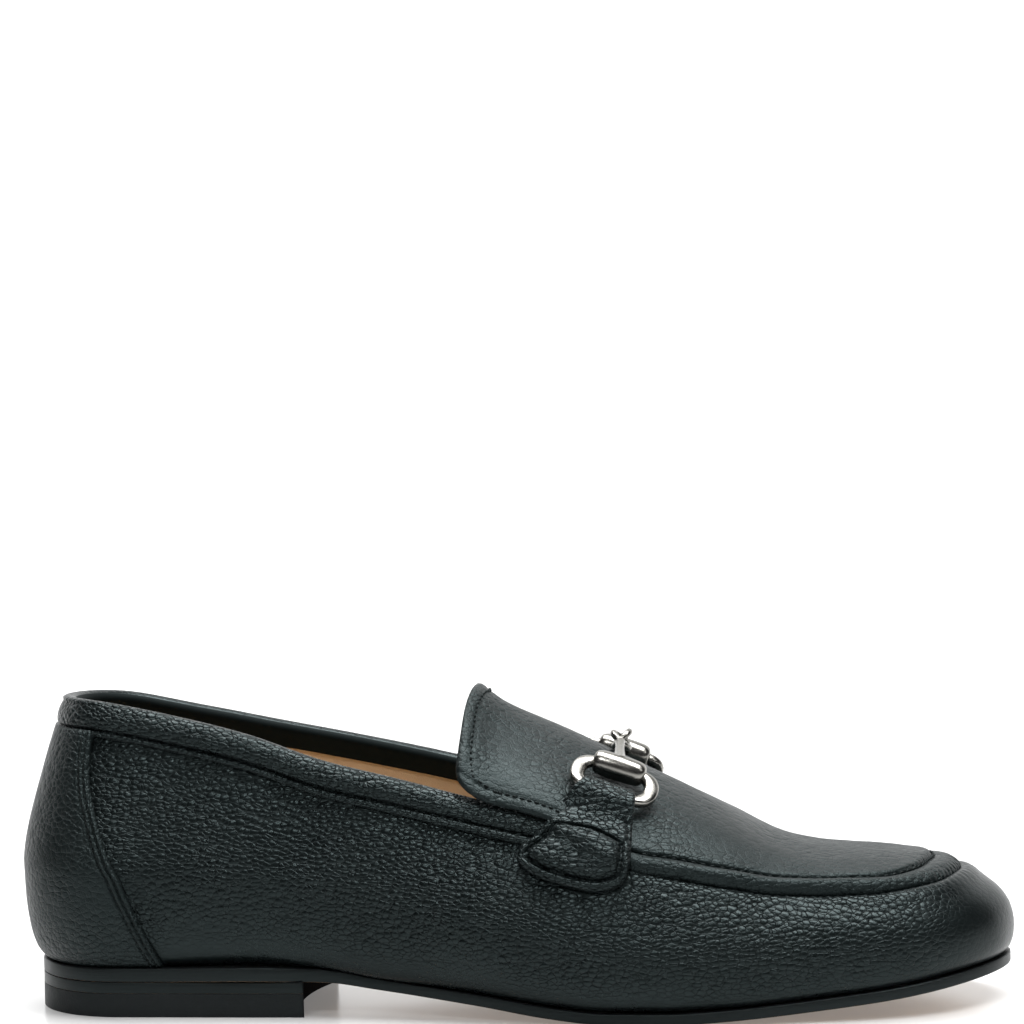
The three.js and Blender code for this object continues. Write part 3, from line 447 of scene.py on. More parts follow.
def piece(name, points, faces, material, marks=None, caps=(), weld=False):
    """A mesh from points in millimetres and quads, turned to face outwards. marks are named values on the
    points, caps are rings of corner numbers that close an open end, and weld joins points that meet."""
    points = np.asarray(points, float).reshape(-1, 3)
    if volume_of(points, faces) < 0:
        faces = faces[:, ::-1]
        caps = [ring[::-1] for ring in caps]
    mesh = bpy.data.meshes.new(name)
    mesh.vertices.add(len(points))
    mesh.vertices.foreach_set("co", ((points - ORIGIN) / 1000).astype(np.float32).ravel())
    corners = np.concatenate([faces.ravel(), *[np.asarray(ring) for ring in caps]]).astype(np.int32)
    sizes = np.concatenate([np.full(len(faces), 4), [len(ring) for ring in caps]]).astype(np.int32)
    mesh.loops.add(len(corners))
    mesh.loops.foreach_set("vertex_index", corners)
    mesh.polygons.add(len(sizes))
    mesh.polygons.foreach_set("loop_start", (np.cumsum(sizes) - sizes).astype(np.int32))
    mesh.polygons.foreach_set("use_smooth", np.ones(len(sizes), bool))
    for key, values in (marks or {}).items():
        mark = mesh.attributes.new(key, "FLOAT", "POINT")
        mark.data.foreach_set("value", np.asarray(values, np.float32).ravel())
    mesh.update(calc_edges=True)
    mesh.validate()
    if weld:
        work = bmesh.new()
        work.from_mesh(mesh)
        bmesh.ops.remove_doubles(work, verts=work.verts, dist=2e-6)
        work.to_mesh(mesh)
        work.free()
    mesh.materials.append(material)
    made = bpy.data.objects.new(name, mesh)
    bpy.context.scene.collection.objects.link(made)
    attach(made, "root")
    return made


def tube(name, rings, material, marks=None):
    """A grid of rings, closed by a cap on its first and its last ring."""
    rows, columns = rings.shape[:2]
    first = np.arange(columns)
    caps = [first[::-1], (rows - 1) * columns + first]
    return piece(name, rings, grid_faces(rows, columns, wrap_columns=True), material, marks, caps)


def leaf(name, outer, inner, material, folded=False):
    """A closed leaf between an outer and an inner grid of the same size: each row runs out along the outer
    grid and back along the inner one. A folded leaf meets itself at its last row and gets no lid there."""
    rings = np.concatenate([outer, inner[:, ::-1]], axis=1)
    rows, columns = rings.shape[:2]
    j = np.arange(outer.shape[1] - 1)
    lid = np.stack([j, j + 1, columns - 2 - j, columns - 1 - j], -1)
    faces = np.concatenate([grid_faces(rows, columns, wrap_columns=True), lid[:, ::-1]])
    if not folded:
        faces = np.concatenate([faces, lid + (rows - 1) * columns])
    return piece(name, rings, faces, material, weld=folded)


def hoop(name, outer, inner, material, marks=None):
    """A leaf that runs right round the shoe, out over one grid and back over the other."""
    rings = np.concatenate([outer, inner[:, ::-1]], axis=1)
    faces = grid_faces(*rings.shape[:2], wrap_rows=True, wrap_columns=True)
    return piece(name, rings, faces, material, marks)


def run_of(path):
    """Length run along a path at each of its points."""
    return np.concatenate([[0], np.cumsum(np.linalg.norm(np.diff(path, axis=0), axis=1))])


def apart(path, least):
    """Which points of a path lie further than a least distance from the one before them."""
    return np.concatenate([[True], np.linalg.norm(np.diff(path, axis=0), axis=1) > least])


def along_path(path, spacing):
    """Places along a path at even steps of about a spacing: fractional indices into it."""
    run = run_of(path)
    count = max(int(round(run[-1] / spacing)), 1)
    return np.interp(np.linspace(0, run[-1], count + 1), run, np.arange(len(path)))


def at_index(values, index):
    """Values between the rows of an array, at fractional indices."""
    low = np.minimum(index.astype(int), len(values) - 2)
    return values[low] + (values[low + 1] - values[low]) * (index - low)[..., None]


STITCH_RINGS = 7
STITCH_SIDES = 6


def stitches(name, path, normals, pitch, long, round_, sink=0.35):
    """Stitches along a path: each is a thread of six sides that rises out of one hole and dives into the
    next, its height following half a cosine wave and its ends drawn in."""
    index = along_path(path, pitch)
    index = (index[1:] + index[:-1]) / 2
    centre, up = at_index(path, index), unit(at_index(normals, index))
    before, after = np.maximum(index - 0.5, 0), np.minimum(index + 0.5, len(path) - 1.001)
    ahead = unit(at_index(path, after) - at_index(path, before))
    side = unit(np.cross(up, ahead))
    t = np.linspace(-1, 1, STITCH_RINGS)
    lift = np.cos(np.pi * t / 2) * (round_ + sink) - sink
    thick = round_ * np.sqrt(np.clip(1 - np.abs(t) ** 4, 0.04, 1))
    spine = centre[:, None] + ahead[:, None] * (t * long / 2)[:, None] + up[:, None] * lift[:, None]
    turn = np.arange(STITCH_SIDES) * 2 * np.pi / STITCH_SIDES
    ring = side[:, None] * np.cos(turn)[:, None] + up[:, None] * np.sin(turn)[:, None]
    points = spine[:, :, None] + ring[:, None] * thick[:, None, None]
    first = (np.arange(len(index)) * STITCH_RINGS * STITCH_SIDES)[:, None, None]
    wall = grid_faces(STITCH_RINGS, STITCH_SIDES, wrap_columns=True)
    end = np.array([[0, 1, 2, 3], [0, 3, 4, 5]])
    ends = np.concatenate([end[:, ::-1], end + (STITCH_RINGS - 1) * STITCH_SIDES])
    faces = np.concatenate([(wall + first).reshape(-1, 4), (ends + first).reshape(-1, 4)])
    piece(name, points, faces, THREAD)


# Materials
def feed(tree, socket, value):
    """A plain number or colour set on a socket, or another socket linked to it."""
    if isinstance(value, tuple):
        socket.default_value = (*value, 1)
    elif isinstance(value, (int, float)):
        socket.default_value = value
    else:
        tree.links.new(value, socket)


def maths(tree, operation, a, b):
    """A Math node on sockets or plain numbers, as its output socket."""
    made = tree.nodes.new("ShaderNodeMath")
    made.operation = operation
    feed(tree, made.inputs[0], a)
    feed(tree, made.inputs[1], b)
    return made.outputs[0]


def plus(tree, *values):
    """Sum of sockets or plain numbers."""
    result = values[0]
    for value in values[1:]:
        result = maths(tree, "ADD", result, value)
    return result


def times(tree, a, b):
    """Product of two sockets or plain numbers."""
    return maths(tree, "MULTIPLY", a, b)


def remap(tree, value, low, high, to_low, to_high):
    """A smooth S from one value to another, as a value passes from low to high."""
    made = tree.nodes.new("ShaderNodeMapRange")
    made.interpolation_type = "SMOOTHSTEP"
    feed(tree, made.inputs["Value"], value)
    for key, number in (("From Min", low), ("From Max", high), ("To Min", to_low), ("To Max", to_high)):
        feed(tree, made.inputs[key], number)
    return made.outputs["Result"]


def parts_of(tree, vector):
    """A vector's X, Y and Z as sockets."""
    split = tree.nodes.new("ShaderNodeSeparateXYZ")
    tree.links.new(vector, split.inputs[0])
    return split.outputs


def facing(tree):
    """The surface's normal as X, Y and Z."""
    return parts_of(tree, tree.nodes.new("ShaderNodeNewGeometry").outputs["Normal"])


def scaled(tree, vector, scale, turn=(0.0, 0.0, 0.0)):
    """Coordinates stretched along each axis and then turned."""
    made = tree.nodes.new("ShaderNodeMapping")
    made.inputs["Rotation"].default_value = turn
    made.inputs["Scale"].default_value = scale
    tree.links.new(vector, made.inputs["Vector"])
    return made.outputs[0]


def blend(tree, factor, a, b):
    """A colour mixed from two colours by a factor."""
    made = tree.nodes.new("ShaderNodeMix")
    made.data_type = "RGBA"
    tree.links.new(factor, made.inputs[0])
    feed(tree, made.inputs[6], a)
    feed(tree, made.inputs[7], b)
    return made.outputs[2]


def group(name, inputs, outputs):
    """An empty shader node group with named inputs and outputs."""
    tree = bpy.data.node_groups.new(name, "ShaderNodeTree")
    for key, kind, value in inputs:
        socket = tree.interface.new_socket(key, in_out="INPUT", socket_type=kind)
        if value is not None:
            socket.default_value = value
    for key, kind in outputs:
        tree.interface.new_socket(key, in_out="OUTPUT", socket_type=kind)
    return tree, tree.nodes.new("NodeGroupInput").outputs, tree.nodes.new("NodeGroupOutput").inputs


def texture(tree, kind, vector, scale, **values):
    """A texture node on coordinates. The scale is a number or a socket."""
    made = tree.nodes.new("ShaderNodeTex" + kind)
    tree.links.new(vector, made.inputs["Vector"])
    feed(tree, made.inputs["Scale"], scale)
    for key, value in values.items():
        made.inputs[key].default_value = value
    return made


def lumps(tree, vector, scale, detail=2.0, **values):
    """Noise from 0 to 1."""
    return texture(tree, "Noise", vector, scale, Detail=detail, **values).outputs["Fac"]


def cells(tree, vector, scale, feature="F1"):
    """A Voronoi texture: its distance and each cell's own colour."""
    made = texture(tree, "Voronoi", vector, scale)
    made.feature = feature
    return made.outputs


def warped(tree, vector, scale, amount):
    """Coordinates pushed about by noise, so that no pattern stays regular."""
    swirl = texture(tree, "Noise", vector, scale, Detail=2.0)
    shift = tree.nodes.new("ShaderNodeVectorMath")
    shift.operation = "MULTIPLY_ADD"
    tree.links.new(swirl.outputs["Color"], shift.inputs[0])
    shift.inputs[1].default_value = (amount, amount, amount)
    tree.links.new(vector, shift.inputs[2])
    return shift.outputs[0]


def rounded(tree, distance):
    """A pebble's back from the distance to its middle: 1 - 1.6 times the distance squared."""
    return maths(tree, "SUBTRACT", 1.0, times(tree, times(tree, distance, distance), 1.6))


def pebble_group():
    """Tumbled grain: round-backed pebbles between creases, smaller pebbles inside them, fading in patches.
    The coordinates are stretched and turned a little, so that the pebbles lie longer along the shoe."""
    tree, given, out = group("Pebbled grain", [
        ("Vector", "NodeSocketVector", None),
        ("Pebbles per metre", "NodeSocketFloat", 400.0),
        ("Small pebbles", "NodeSocketFloat", 0.35),
        ("Patchiness", "NodeSocketFloat", 0.5),
        ("Strength", "NodeSocketFloat", 1.0),
    ], [("Height", "NodeSocketFloat"), ("Crease", "NodeSocketFloat")])
    longer = scaled(tree, given["Vector"], (0.82, 0.9, 1.2), (0.0, 0.45, 0.0))
    vector = warped(tree, longer, 190.0, 0.0012)
    borders = cells(tree, vector, given["Pebbles per metre"], "DISTANCE_TO_EDGE")
    crease = remap(tree, borders["Distance"], 0.0, 0.1, 1.0, 0.0)
    pebble = cells(tree, vector, given["Pebbles per metre"])
    own = tree.nodes.new("ShaderNodeSeparateColor")
    tree.links.new(pebble["Color"], own.inputs[0])
    swell = maths(tree, "ADD", times(tree, own.outputs[0], 0.4), 0.8)
    small = cells(tree, vector, times(tree, given["Pebbles per metre"], 2.3))
    patch = lumps(tree, given["Vector"], 38.0)
    faded = maths(tree, "SUBTRACT", 1.0, given["Patchiness"])
    strength = times(tree, remap(tree, patch, 0.35, 0.62, faded, 1.0), given["Strength"])
    height = times(tree, rounded(tree, pebble["Distance"]), swell)
    height = plus(tree, height, times(tree, rounded(tree, small["Distance"]), given["Small pebbles"]))
    height = maths(tree, "SUBTRACT", height, times(tree, crease, 0.4))
    pores = times(tree, lumps(tree, vector, 2600.0, 3.0), 0.06)
    tree.links.new(plus(tree, times(tree, height, strength), pores), out["Height"])
    tree.links.new(times(tree, crease, strength), out["Crease"])
    return tree


def fine_group():
    """Fine grain of smooth leather: tiny flat cells, pores and long faint wrinkles. Its second output marks
    the borders between the cells, where smooth leather's colour is painted darker as painted shade.
    """
    tree, given, out = group("Fine grain", [
        ("Vector", "NodeSocketVector", None),
        ("Cells per metre", "NodeSocketFloat", 1300.0),
        ("Wrinkles", "NodeSocketFloat", 0.5),
    ], [("Height", "NodeSocketFloat"), ("Border shade", "NodeSocketFloat")])
    vector = warped(tree, given["Vector"], 420.0, 0.0012)
    border = cells(tree, vector, given["Cells per metre"], "DISTANCE_TO_EDGE")["Distance"]
    flat = times(tree, remap(tree, border, 0.0, 0.25, 0.0, 1.0), 0.4)
    pores = times(tree, lumps(tree, vector, 3200.0), 0.35)
    folds = times(tree, lumps(tree, vector, 240.0, 3.0, Roughness=0.6), given["Wrinkles"])
    tree.links.new(plus(tree, flat, pores, folds), out["Height"])
    # the borders between the cells, where the colour is painted darker as painted shade
    tree.links.new(remap(tree, border, 0.0, 0.1, 1.0, 0.0), out["Border shade"])
    return tree


def polish_group():
    """Slow changes of polish over a shoe: broad cloudy patches and small smudges."""
    tree, given, out = group("Polish", [
        ("Vector", "NodeSocketVector", None),
        ("Low", "NodeSocketFloat", 0.4),
        ("High", "NodeSocketFloat", 0.5),
    ], [("Roughness", "NodeSocketFloat"), ("Cloud", "NodeSocketFloat")])
    broad = times(tree, lumps(tree, given["Vector"], 22.0, 3.0), 0.7)
    small = times(tree, lumps(tree, given["Vector"], 320.0), 0.3)
    cloud = plus(tree, broad, small)
    tree.links.new(remap(tree, cloud, 0.35, 0.65, given["Low"], given["High"]), out["Roughness"])
    tree.links.new(cloud, out["Cloud"])
    return tree


PEBBLES, FINE, POLISH = pebble_group(), fine_group(), polish_group()


def start(name, **sockets):
    """A material with a Principled shader whose constants are set on its sockets."""
    made = bpy.data.materials.new(name)
    made.use_nodes = True
    tree = made.node_tree
    shader = tree.nodes["Principled BSDF"]
    for key, value in sockets.items():
        shader.inputs[key.replace("_", " ")].default_value = value
    place = tree.nodes.new("ShaderNodeTexCoord").outputs["Object"]
    return made, tree, shader, place


def placed(tree, which, vector, **values):
    """A node group in a material, with its own values."""
    made = tree.nodes.new("ShaderNodeGroup")
    made.node_tree = which
    tree.links.new(vector, made.inputs["Vector"])
    for key, value in values.items():
        feed(tree, made.inputs[key.replace("_", " ")], value)
    return made.outputs


def bumped(tree, height, distance, under=None):
    """A Bump node's normal, over another one where it is given."""
    bump = tree.nodes.new("ShaderNodeBump")
    bump.inputs["Strength"].default_value = 1.0
    bump.inputs["Distance"].default_value = distance
    tree.links.new(height, bump.inputs["Height"])
    if under is not None:
        tree.links.new(under, bump.inputs["Normal"])
    return bump.outputs[0]


def finished(tree, shader, colour, rough, normal):
    """The shader's colour, roughness and normal, from sockets."""
    tree.links.new(colour, shader.inputs["Base Color"])
    tree.links.new(rough, shader.inputs["Roughness"])
    tree.links.new(normal, shader.inputs["Normal"])


COOL = (0.76, 0.99, 1.0, 1.0)


def grain_leather(name, pebbles=630.0, small=0.12, patchiness=0.45, depth=0.0003, masked=True,
                  bare_shine=None):
    """Near-black pebbled leather: the creases are painted darker, as painted shade, and are duller than the
    backs of the pebbles. A masked one fades to smooth and dull where the piece's grain mark falls, and
    bare_shine is its shine there."""
    made, tree, shader, place = start(name, Specular_IOR_Level=LEATHER_SHINE, Specular_Tint=COOL)
    grain = placed(tree, PEBBLES, place, Pebbles_per_metre=pebbles, Small_pebbles=small,
                   Patchiness=patchiness)
    polish = placed(tree, POLISH, place, Low=0.24, High=0.33)
    rough = plus(tree, polish["Roughness"], times(tree, grain["Crease"], 0.25))
    if masked:
        attribute = tree.nodes.new("ShaderNodeAttribute")
        attribute.attribute_name = "grain"
        mark = attribute.outputs["Fac"]
        tree.links.new(mark, grain["Height"].node.inputs["Strength"])
        rough = plus(tree, rough, remap(tree, mark, 0.0, 0.08, 0.3, 0.0))
    if bare_shine:
        shine = remap(tree, mark, 0.0, 0.08, bare_shine, LEATHER_SHINE)
        tree.links.new(shine, shader.inputs["Specular IOR Level"])
    # painted shade: the base colour is darker in the creases between the pebbles
    colour = blend(tree, grain["Crease"], (0.0042, 0.0058, 0.006), (0.0016, 0.0021, 0.0022))
    finished(tree, shader, colour, rough, bumped(tree, grain["Height"], depth))
    return made


def smooth_leather(name):
    """Fine-grained leather with soft wrinkles and faint pebbles under them."""
    made, tree, shader, place = start(name, Specular_IOR_Level=0.27, Specular_Tint=COOL)
    fine = placed(tree, FINE, place, Cells_per_metre=1300.0, Wrinkles=0.5)
    polish = placed(tree, POLISH, place, Low=0.36, High=0.48)
    grain = placed(tree, PEBBLES, place, Pebbles_per_metre=520.0, Small_pebbles=0.2, Patchiness=0.75)
    # painted shade: the colour is darker on the borders between the fine grain's cells
    colour = blend(tree, fine["Border shade"], (0.0052, 0.0075, 0.0077), (0.00312, 0.0045, 0.00462))
    pebbled = bumped(tree, grain["Height"], 0.00024)
    finished(tree, shader, colour, polish["Roughness"], bumped(tree, fine["Height"], 0.00009, pebbled))
    return made


def lining_leather():
    """Tan lining: matt, with soft mottling and a fine suede-like nap."""
    made, tree, shader, place = start("lining_leather", Specular_IOR_Level=0.12)
    fine = placed(tree, FINE, place, Cells_per_metre=1700.0, Wrinkles=0.3)
    polish = placed(tree, POLISH, place, Low=0.62, High=0.8)
    colour = blend(tree, polish["Cloud"], (0.60, 0.44, 0.285), (0.72, 0.56, 0.385))
    finished(tree, shader, colour, polish["Roughness"], bumped(tree, fine["Height"], 0.00012))
    return made


def matt_breast(tree, shader, place, normal):
    """No shine where a face of the heel looks forward, at its breast."""
    forward = remap(tree, normal["X"], 0.6, 0.8, 0.0, 1.0)
    heel = remap(tree, parts_of(tree, place)["X"], -0.045, -0.035, 1.0, 0.0)
    shine = remap(tree, times(tree, forward, heel), 0.0, 1.0, EDGE_SHINE, 0.0)
    tree.links.new(shine, shader.inputs["Specular IOR Level"])


def edge_paint():
    """Black edge paint over stacked leather: fine level lines from trimming, a satin shine, and the raw tan
    leather left bare where the face looks down."""
    made, tree, shader, place = start("edge_paint", Specular_IOR_Level=EDGE_SHINE, Specular_Tint=COOL)
    lines = lumps(tree, scaled(tree, place, (0.06, 0.06, 3.0)), 900.0, 3.0)
    polish = placed(tree, POLISH, place, Low=0.3, High=0.42)
    normal = facing(tree)
    bare = remap(tree, normal["Z"], -0.82, -0.94, 0.0, 1.0)
    tan = blend(tree, lumps(tree, place, 700.0, 4.0), (0.36, 0.22, 0.115), (0.56, 0.37, 0.21))
    paint = blend(tree, polish["Cloud"], (0.006, 0.0068, 0.007), (0.011, 0.012, 0.0125))
    rough = tree.nodes.new("ShaderNodeMix")
    tree.links.new(bare, rough.inputs[0])
    tree.links.new(polish["Roughness"], rough.inputs[2])
    rough.inputs[3].default_value = 0.62
    matt_breast(tree, shader, place, normal)
    finished(tree, shader, blend(tree, bare, paint, tan), rough.outputs[0], bumped(tree, lines, 0.00006))
    return made


def heel_rubber():
    """Matt black rubber with a faint moulded stipple."""
    made, tree, shader, place = start("heel_rubber", Specular_IOR_Level=EDGE_SHINE, Specular_Tint=COOL)
    polish = placed(tree, POLISH, place, Low=0.45, High=0.6)
    stipple = cells(tree, place, 1500.0)["Distance"]
    colour = blend(tree, polish["Cloud"], (0.008, 0.008, 0.0085), (0.016, 0.016, 0.017))
    matt_breast(tree, shader, place, facing(tree))
    finished(tree, shader, colour, polish["Roughness"], bumped(tree, stipple, 0.00004))
    return made


def bit_metal():
    """Polished warm-grey plating with faint polishing lines and a little cloudiness."""
    made, tree, shader, place = start("bit_metal", Metallic=1.0)
    polish = placed(tree, POLISH, place, Low=0.22, High=0.34)
    colour = blend(tree, polish["Cloud"], (0.25, 0.244, 0.225), (0.34, 0.332, 0.308))
    lines = lumps(tree, place, 5200.0)
    finished(tree, shader, colour, polish["Roughness"], bumped(tree, lines, 0.000012))
    return made


def sewing_thread():
    """Black waxed thread: a twist along its length and a soft sheen."""
    made, tree, shader, place = start("sewing_thread", Specular_IOR_Level=0.2, Specular_Tint=COOL)
    polish = placed(tree, POLISH, place, Low=0.5, High=0.65)
    twist = lumps(tree, place, 4200.0)
    colour = blend(tree, twist, (0.003, 0.0035, 0.0035), (0.009, 0.0105, 0.0105))
    finished(tree, shader, colour, polish["Roughness"], bumped(tree, twist, 0.00006))
    return made


GRAIN = grain_leather("grain_leather")
BAND = grain_leather("band_leather", small=0.2, patchiness=0.3, bare_shine=0.07)
STRAP_LEATHER = grain_leather("strap_leather", 560.0, 0.2, 0.2, 0.00034, masked=False)
SMOOTH = smooth_leather("smooth_leather")
HEEL_LEATHER = smooth_leather("heel_leather")
LINING = lining_leather()
EDGE = edge_paint()
RUBBER = heel_rubber()
METAL = bit_metal()
THREAD = sewing_thread()


# Bottom
def layer(name, out_at, low_at, high_at, round_, material, steps=260):
    """A flat layer that stands out from the feather edge by out_at: each ring crosses the shoe with rounded
    upper and lower edges, and its heights follow the sole's curve under each of its points."""
    q = np.linspace(0.0, 1.0, steps + 1)
    quarter = np.linspace(0, np.pi / 2, 5)
    closing, opening = round_ * (1 - np.sin(quarter)), round_ * (1 - np.cos(quarter))
    inwards = np.concatenate([[14.0, 6.0], closing, opening, [6.0, 14.0]])
    drop = np.concatenate([[0, 0], opening, closing, [0, 0]])
    on_top = np.arange(len(drop)) < len(drop) // 2

    def side(sign):
        """Rings across one side."""
        r = rib((sign * q)[:, None])
        reach = r["reach"] + out_at(r["at"]) - np.minimum(inwards, 0.95 * r["reach"])
        x, y = r["cx"] + r["along"] * reach, r["cy"] + r["across"] * reach
        z = np.where(on_top, high_at(x / LENGTH) - drop, low_at(x / LENGTH) + drop)
        return np.stack(np.broadcast_arrays(x, y, z), -1)

    rings = np.concatenate([side(-1), side(1)[:, ::-1]], axis=1)
    rows, columns = rings.shape[:2]
    faces = grid_faces(rows, columns, wrap_columns=True)
    return piece(name, rings, faces, material, weld=True)


def heel_block(name, low, high, material, round_=0.14):
    """A layer of the heel: the feather edge's outline to the breast, which is a parabola that bows towards
    the heel, as rings from its middle out over a rounded edge, down and in again."""
    breast = rib_at(HEEL_LENGTH / LENGTH)
    q = np.linspace(-breast, breast, 181)
    r = rib(q)
    reach = r["reach"] + out_share(0.0) * WELT
    outline = np.stack([r["cx"] + r["along"] * reach, r["cy"] + r["across"] * reach], -1)
    a, c = outline[-1], outline[0]
    b = np.array([HEEL_LENGTH - 2 * BREAST_HOLLOW, (a[1] + c[1]) / 2])
    t = np.linspace(0, 1, 61)[1:-1, None]
    outline = np.concatenate([outline, (1 - t) ** 2 * a + 2 * (1 - t) * t * b + t ** 2 * c])
    centre = outline.mean(0)
    ahead = np.roll(outline, -1, 0) - np.roll(outline, 1, 0)
    outwards = unit(np.stack([ahead[:, 1], -ahead[:, 0]], -1))
    if ((outline - centre) * outwards).sum() < 0:
        outwards = -outwards
    quarter = np.linspace(0, np.pi / 2, 5)
    closing, opening = round_ * (1 - np.sin(quarter)), round_ * (1 - np.cos(quarter))
    middle = (centre + (outline - centre) * 0.02)[None]
    edge = outline - outwards * np.concatenate([closing, opening])[:, None, None]
    plan = np.concatenate([middle, edge, middle])
    z = np.concatenate([[high], high - opening, low + closing, [low]])
    rings = np.concatenate([plan, np.broadcast_to(z[:, None, None], (*plan.shape[:2], 1))], axis=2)
    return tube(name, rings, material)


outsole = layer("sole", lambda at: out_share(at) * WELT, sole_under, sole_top, 0.45, EDGE)
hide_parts("outsole")
lift = heel_block("heel_lift_layer", HEEL_HEIGHT - GAP - LIFT, HEEL_HEIGHT - GAP * 0.2, EDGE)
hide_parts("heel_lift")
top_piece = heel_block("heel_tread", 0.0, HEEL_HEIGHT - 1.2 * GAP - LIFT, RUBBER)
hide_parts("heel_top_piece")


def sock_under(at):
    """The sock lies on the lasting margin of the upper."""
    return sole_top(at) + WALL + 2 * GAP


sock = layer("sock", lambda at: -TURN - WALL / 2, sock_under, lambda at: sock_under(at) + INSOLE,
             0.5, LINING, 160)
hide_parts("insole")


# Upper
STRAP_PLACE = 168.0


def spaced_ribs(rear, front, start=-1.0, end=1.0):
    """Ribs at even steps of length round the shoe, one step length behind the strap and one before it,
    measured on a line at 0.6 of each rib."""
    q = np.linspace(start, end, 6001)
    points = skin(q, 0.6)
    run = np.linalg.norm(np.diff(points, axis=0), axis=1)
    step = np.where(points[1:, 0] > STRAP_PLACE, front, rear)
    count = np.concatenate([[0], np.cumsum(run / step)])
    return np.interp(np.linspace(0, count[-1], int(count[-1]) + 1), count, q)


def shell_top(q):
    """Top of the upper: the topline, then up a quarter of an ellipse to the crest under the tongue."""
    turn = np.clip((share_of(q) - THROAT[0]) / (THROAT[1] - THROAT[0]), 0, 1)
    return np.where(turn >= 1, 1.0, mix(rim_of(q), 1, 1 - np.sqrt(1 - turn ** 2)))


# Main creases of the upper: at, up, half length along the shoe, half width, slant (mm up for each mm
# along), depth
CREASES = np.array([
    [0.575, 0.40, 26.0, 7.0, -0.30, 0.55],
    [0.640, 0.30, 22.0, 6.0, -0.18, 0.40],
    [0.500, 0.47, 24.0, 6.5, -0.22, 0.35],
    [0.330, 0.52, 30.0, 7.0, -0.30, 0.40],
    [0.240, 0.45, 18.0, 6.0, 0.25, 0.30],
    [0.720, 0.36, 20.0, 5.0, -0.08, 0.30],
])


def bell(x, middle, wide):
    """1 at the middle, falling off on both sides as exp(-(distance / width) squared)."""
    return np.exp(-((x - middle) / wide) ** 2)


def creases(x, climb, whole):
    """Soft troughs: each is a bell across its line and along it, with a lower swell above it. whole is the
    length of each rib."""
    height = np.zeros(climb.shape)
    for at, up, long, wide, slant, depth in CREASES:
        along = x - at * LENGTH
        across = climb - up * whole - slant * along
        section = bell(across, 0, wide) - 0.45 * bell(across, 1.5 * wide, wide)
        height -= depth * bell(along, 0, long) * section
    return height


def pleats(beat):
    """Rounded folds between narrow valleys, one for each whole beat."""
    return np.abs(np.sin(np.pi * beat)) ** 0.6


def upper_height(q, up, lengths, points):
    """Height of the leather over the smooth last: slow waves, the creases, gathers below the apron's seam
    that are narrow at the stitches and round between them, and the turn into the seam."""
    climb = length_at(lengths, up)
    at = share_of(q)[:, None]
    edge = apron_up(share_of(q))
    seam = skin(q, edge)
    below = length_at(lengths, edge[:, None]) - climb
    near = ease(at, 0.632, 0.68)
    toe = ease(at, 0.78, 0.95)
    tip = ease(at, 0.82, 0.95)
    beat = (run_of(seam) / PLEAT + 0.4 * noise(seam, 9.0) + 0.3 * noise(seam, 3.7, 1))[:, None]
    depth = mix(0.45, 0.3, toe) * near * np.exp(-np.clip(below, 0, None) / mix(2.6, 2.9, toe))
    height = depth * (pleats(beat) - 0.75)
    height -= near * 0.95 * bell(np.clip(below + 0.3, 0, None), 0, 0.75)
    height += near * mix(0.32, 1.15, tip) * bell(below, 2.3, mix(1.6, 3.6, tip))
    height += 0.28 * noise(points, 21.0) + 0.1 * noise(points, 8.0, 1)
    height += creases(points[..., 0], climb, lengths[:, -1:]) * ease(up, 0.08, 0.2)
    return height


def upper_piece():
    """Quarters and vamp as one leaf round the shoe: out over the last and back 0.7 mm inside it."""
    q = spaced_ribs(rear=1.35, front=0.62)[:-1]
    lengths = climbed(q)
    top = shell_top(q)
    at = share_of(q)
    seam = mix(top * 0.92, apron_up(at), ease(at, 0.56, 0.61))
    low, high = (seam - 0.11)[:, None], np.minimum(seam + 0.035, top)[:, None]
    top = top[:, None]
    # the lasting margin, the side, the closer rows of the pleats and what the apron covers
    ups = np.concatenate([
        np.broadcast_to([-1.0, -0.3, 0.0], (len(q), 3)),
        low * np.linspace(0, 1, 31)[1:], low + (high - low) * np.linspace(0, 1, 15)[1:],
        high + (top - high) * np.linspace(0, 1, 5)[1:],
    ], axis=1)
    base = skin(q[:, None], ups)
    relief = upper_height(q, ups, lengths, base) * ease(ups, 0, 0.06)
    outer = base + outward(q[:, None], ups) * relief[..., None]
    # the inner wall is smooth, so about every fourth row is enough
    inner_ups = ups[:, [0, *range(2, 35, 4), 40, 46, -1]]
    inner = over(q[:, None], inner_ups, np.full(inner_ups.shape, -0.7))
    # the grain is pressed flat near the sole and stretched out over the toe
    mark = mix(0.1, 1.0, ease(ups, 0.08, 0.32)) * (1 - 0.85 * ease(at, 0.84, 0.97))[:, None]
    marks = {"grain": np.concatenate([mark, np.zeros(inner.shape[:2])], axis=1)}
    made = hoop("quarters_and_vamp", outer, inner, GRAIN, marks)
    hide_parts("upper")


def lining_piece():
    """Lining: a leaf from 1 mm to the wall's depth inside the last, up to the topline and the crest."""
    q = spaced_ribs(rear=2.4, front=3.0)[:-1]
    ups = np.concatenate([np.full((len(q), 1), -0.9), shell_top(q)[:, None] * np.linspace(0, 1, 26)], axis=1)
    base = skin(q[:, None], ups)
    outer = over(q[:, None], ups, np.full(ups.shape, -1.0))
    inner = over(q[:, None], ups, -WALL + 0.18 * noise(base, 12.0) * ease(ups, 0.05, 0.2))
    hoop("lining", outer, inner, LINING)


upper_piece()
lining_piece()


# Heel counter
def round_edge(distance, radius):
    """How far a rounded edge has fallen, as a share of its height, at a distance from its end."""
    return 1 - np.sqrt(np.clip(1 - (1 - np.clip(distance / radius, 0, 1)) ** 2, 0, 1))


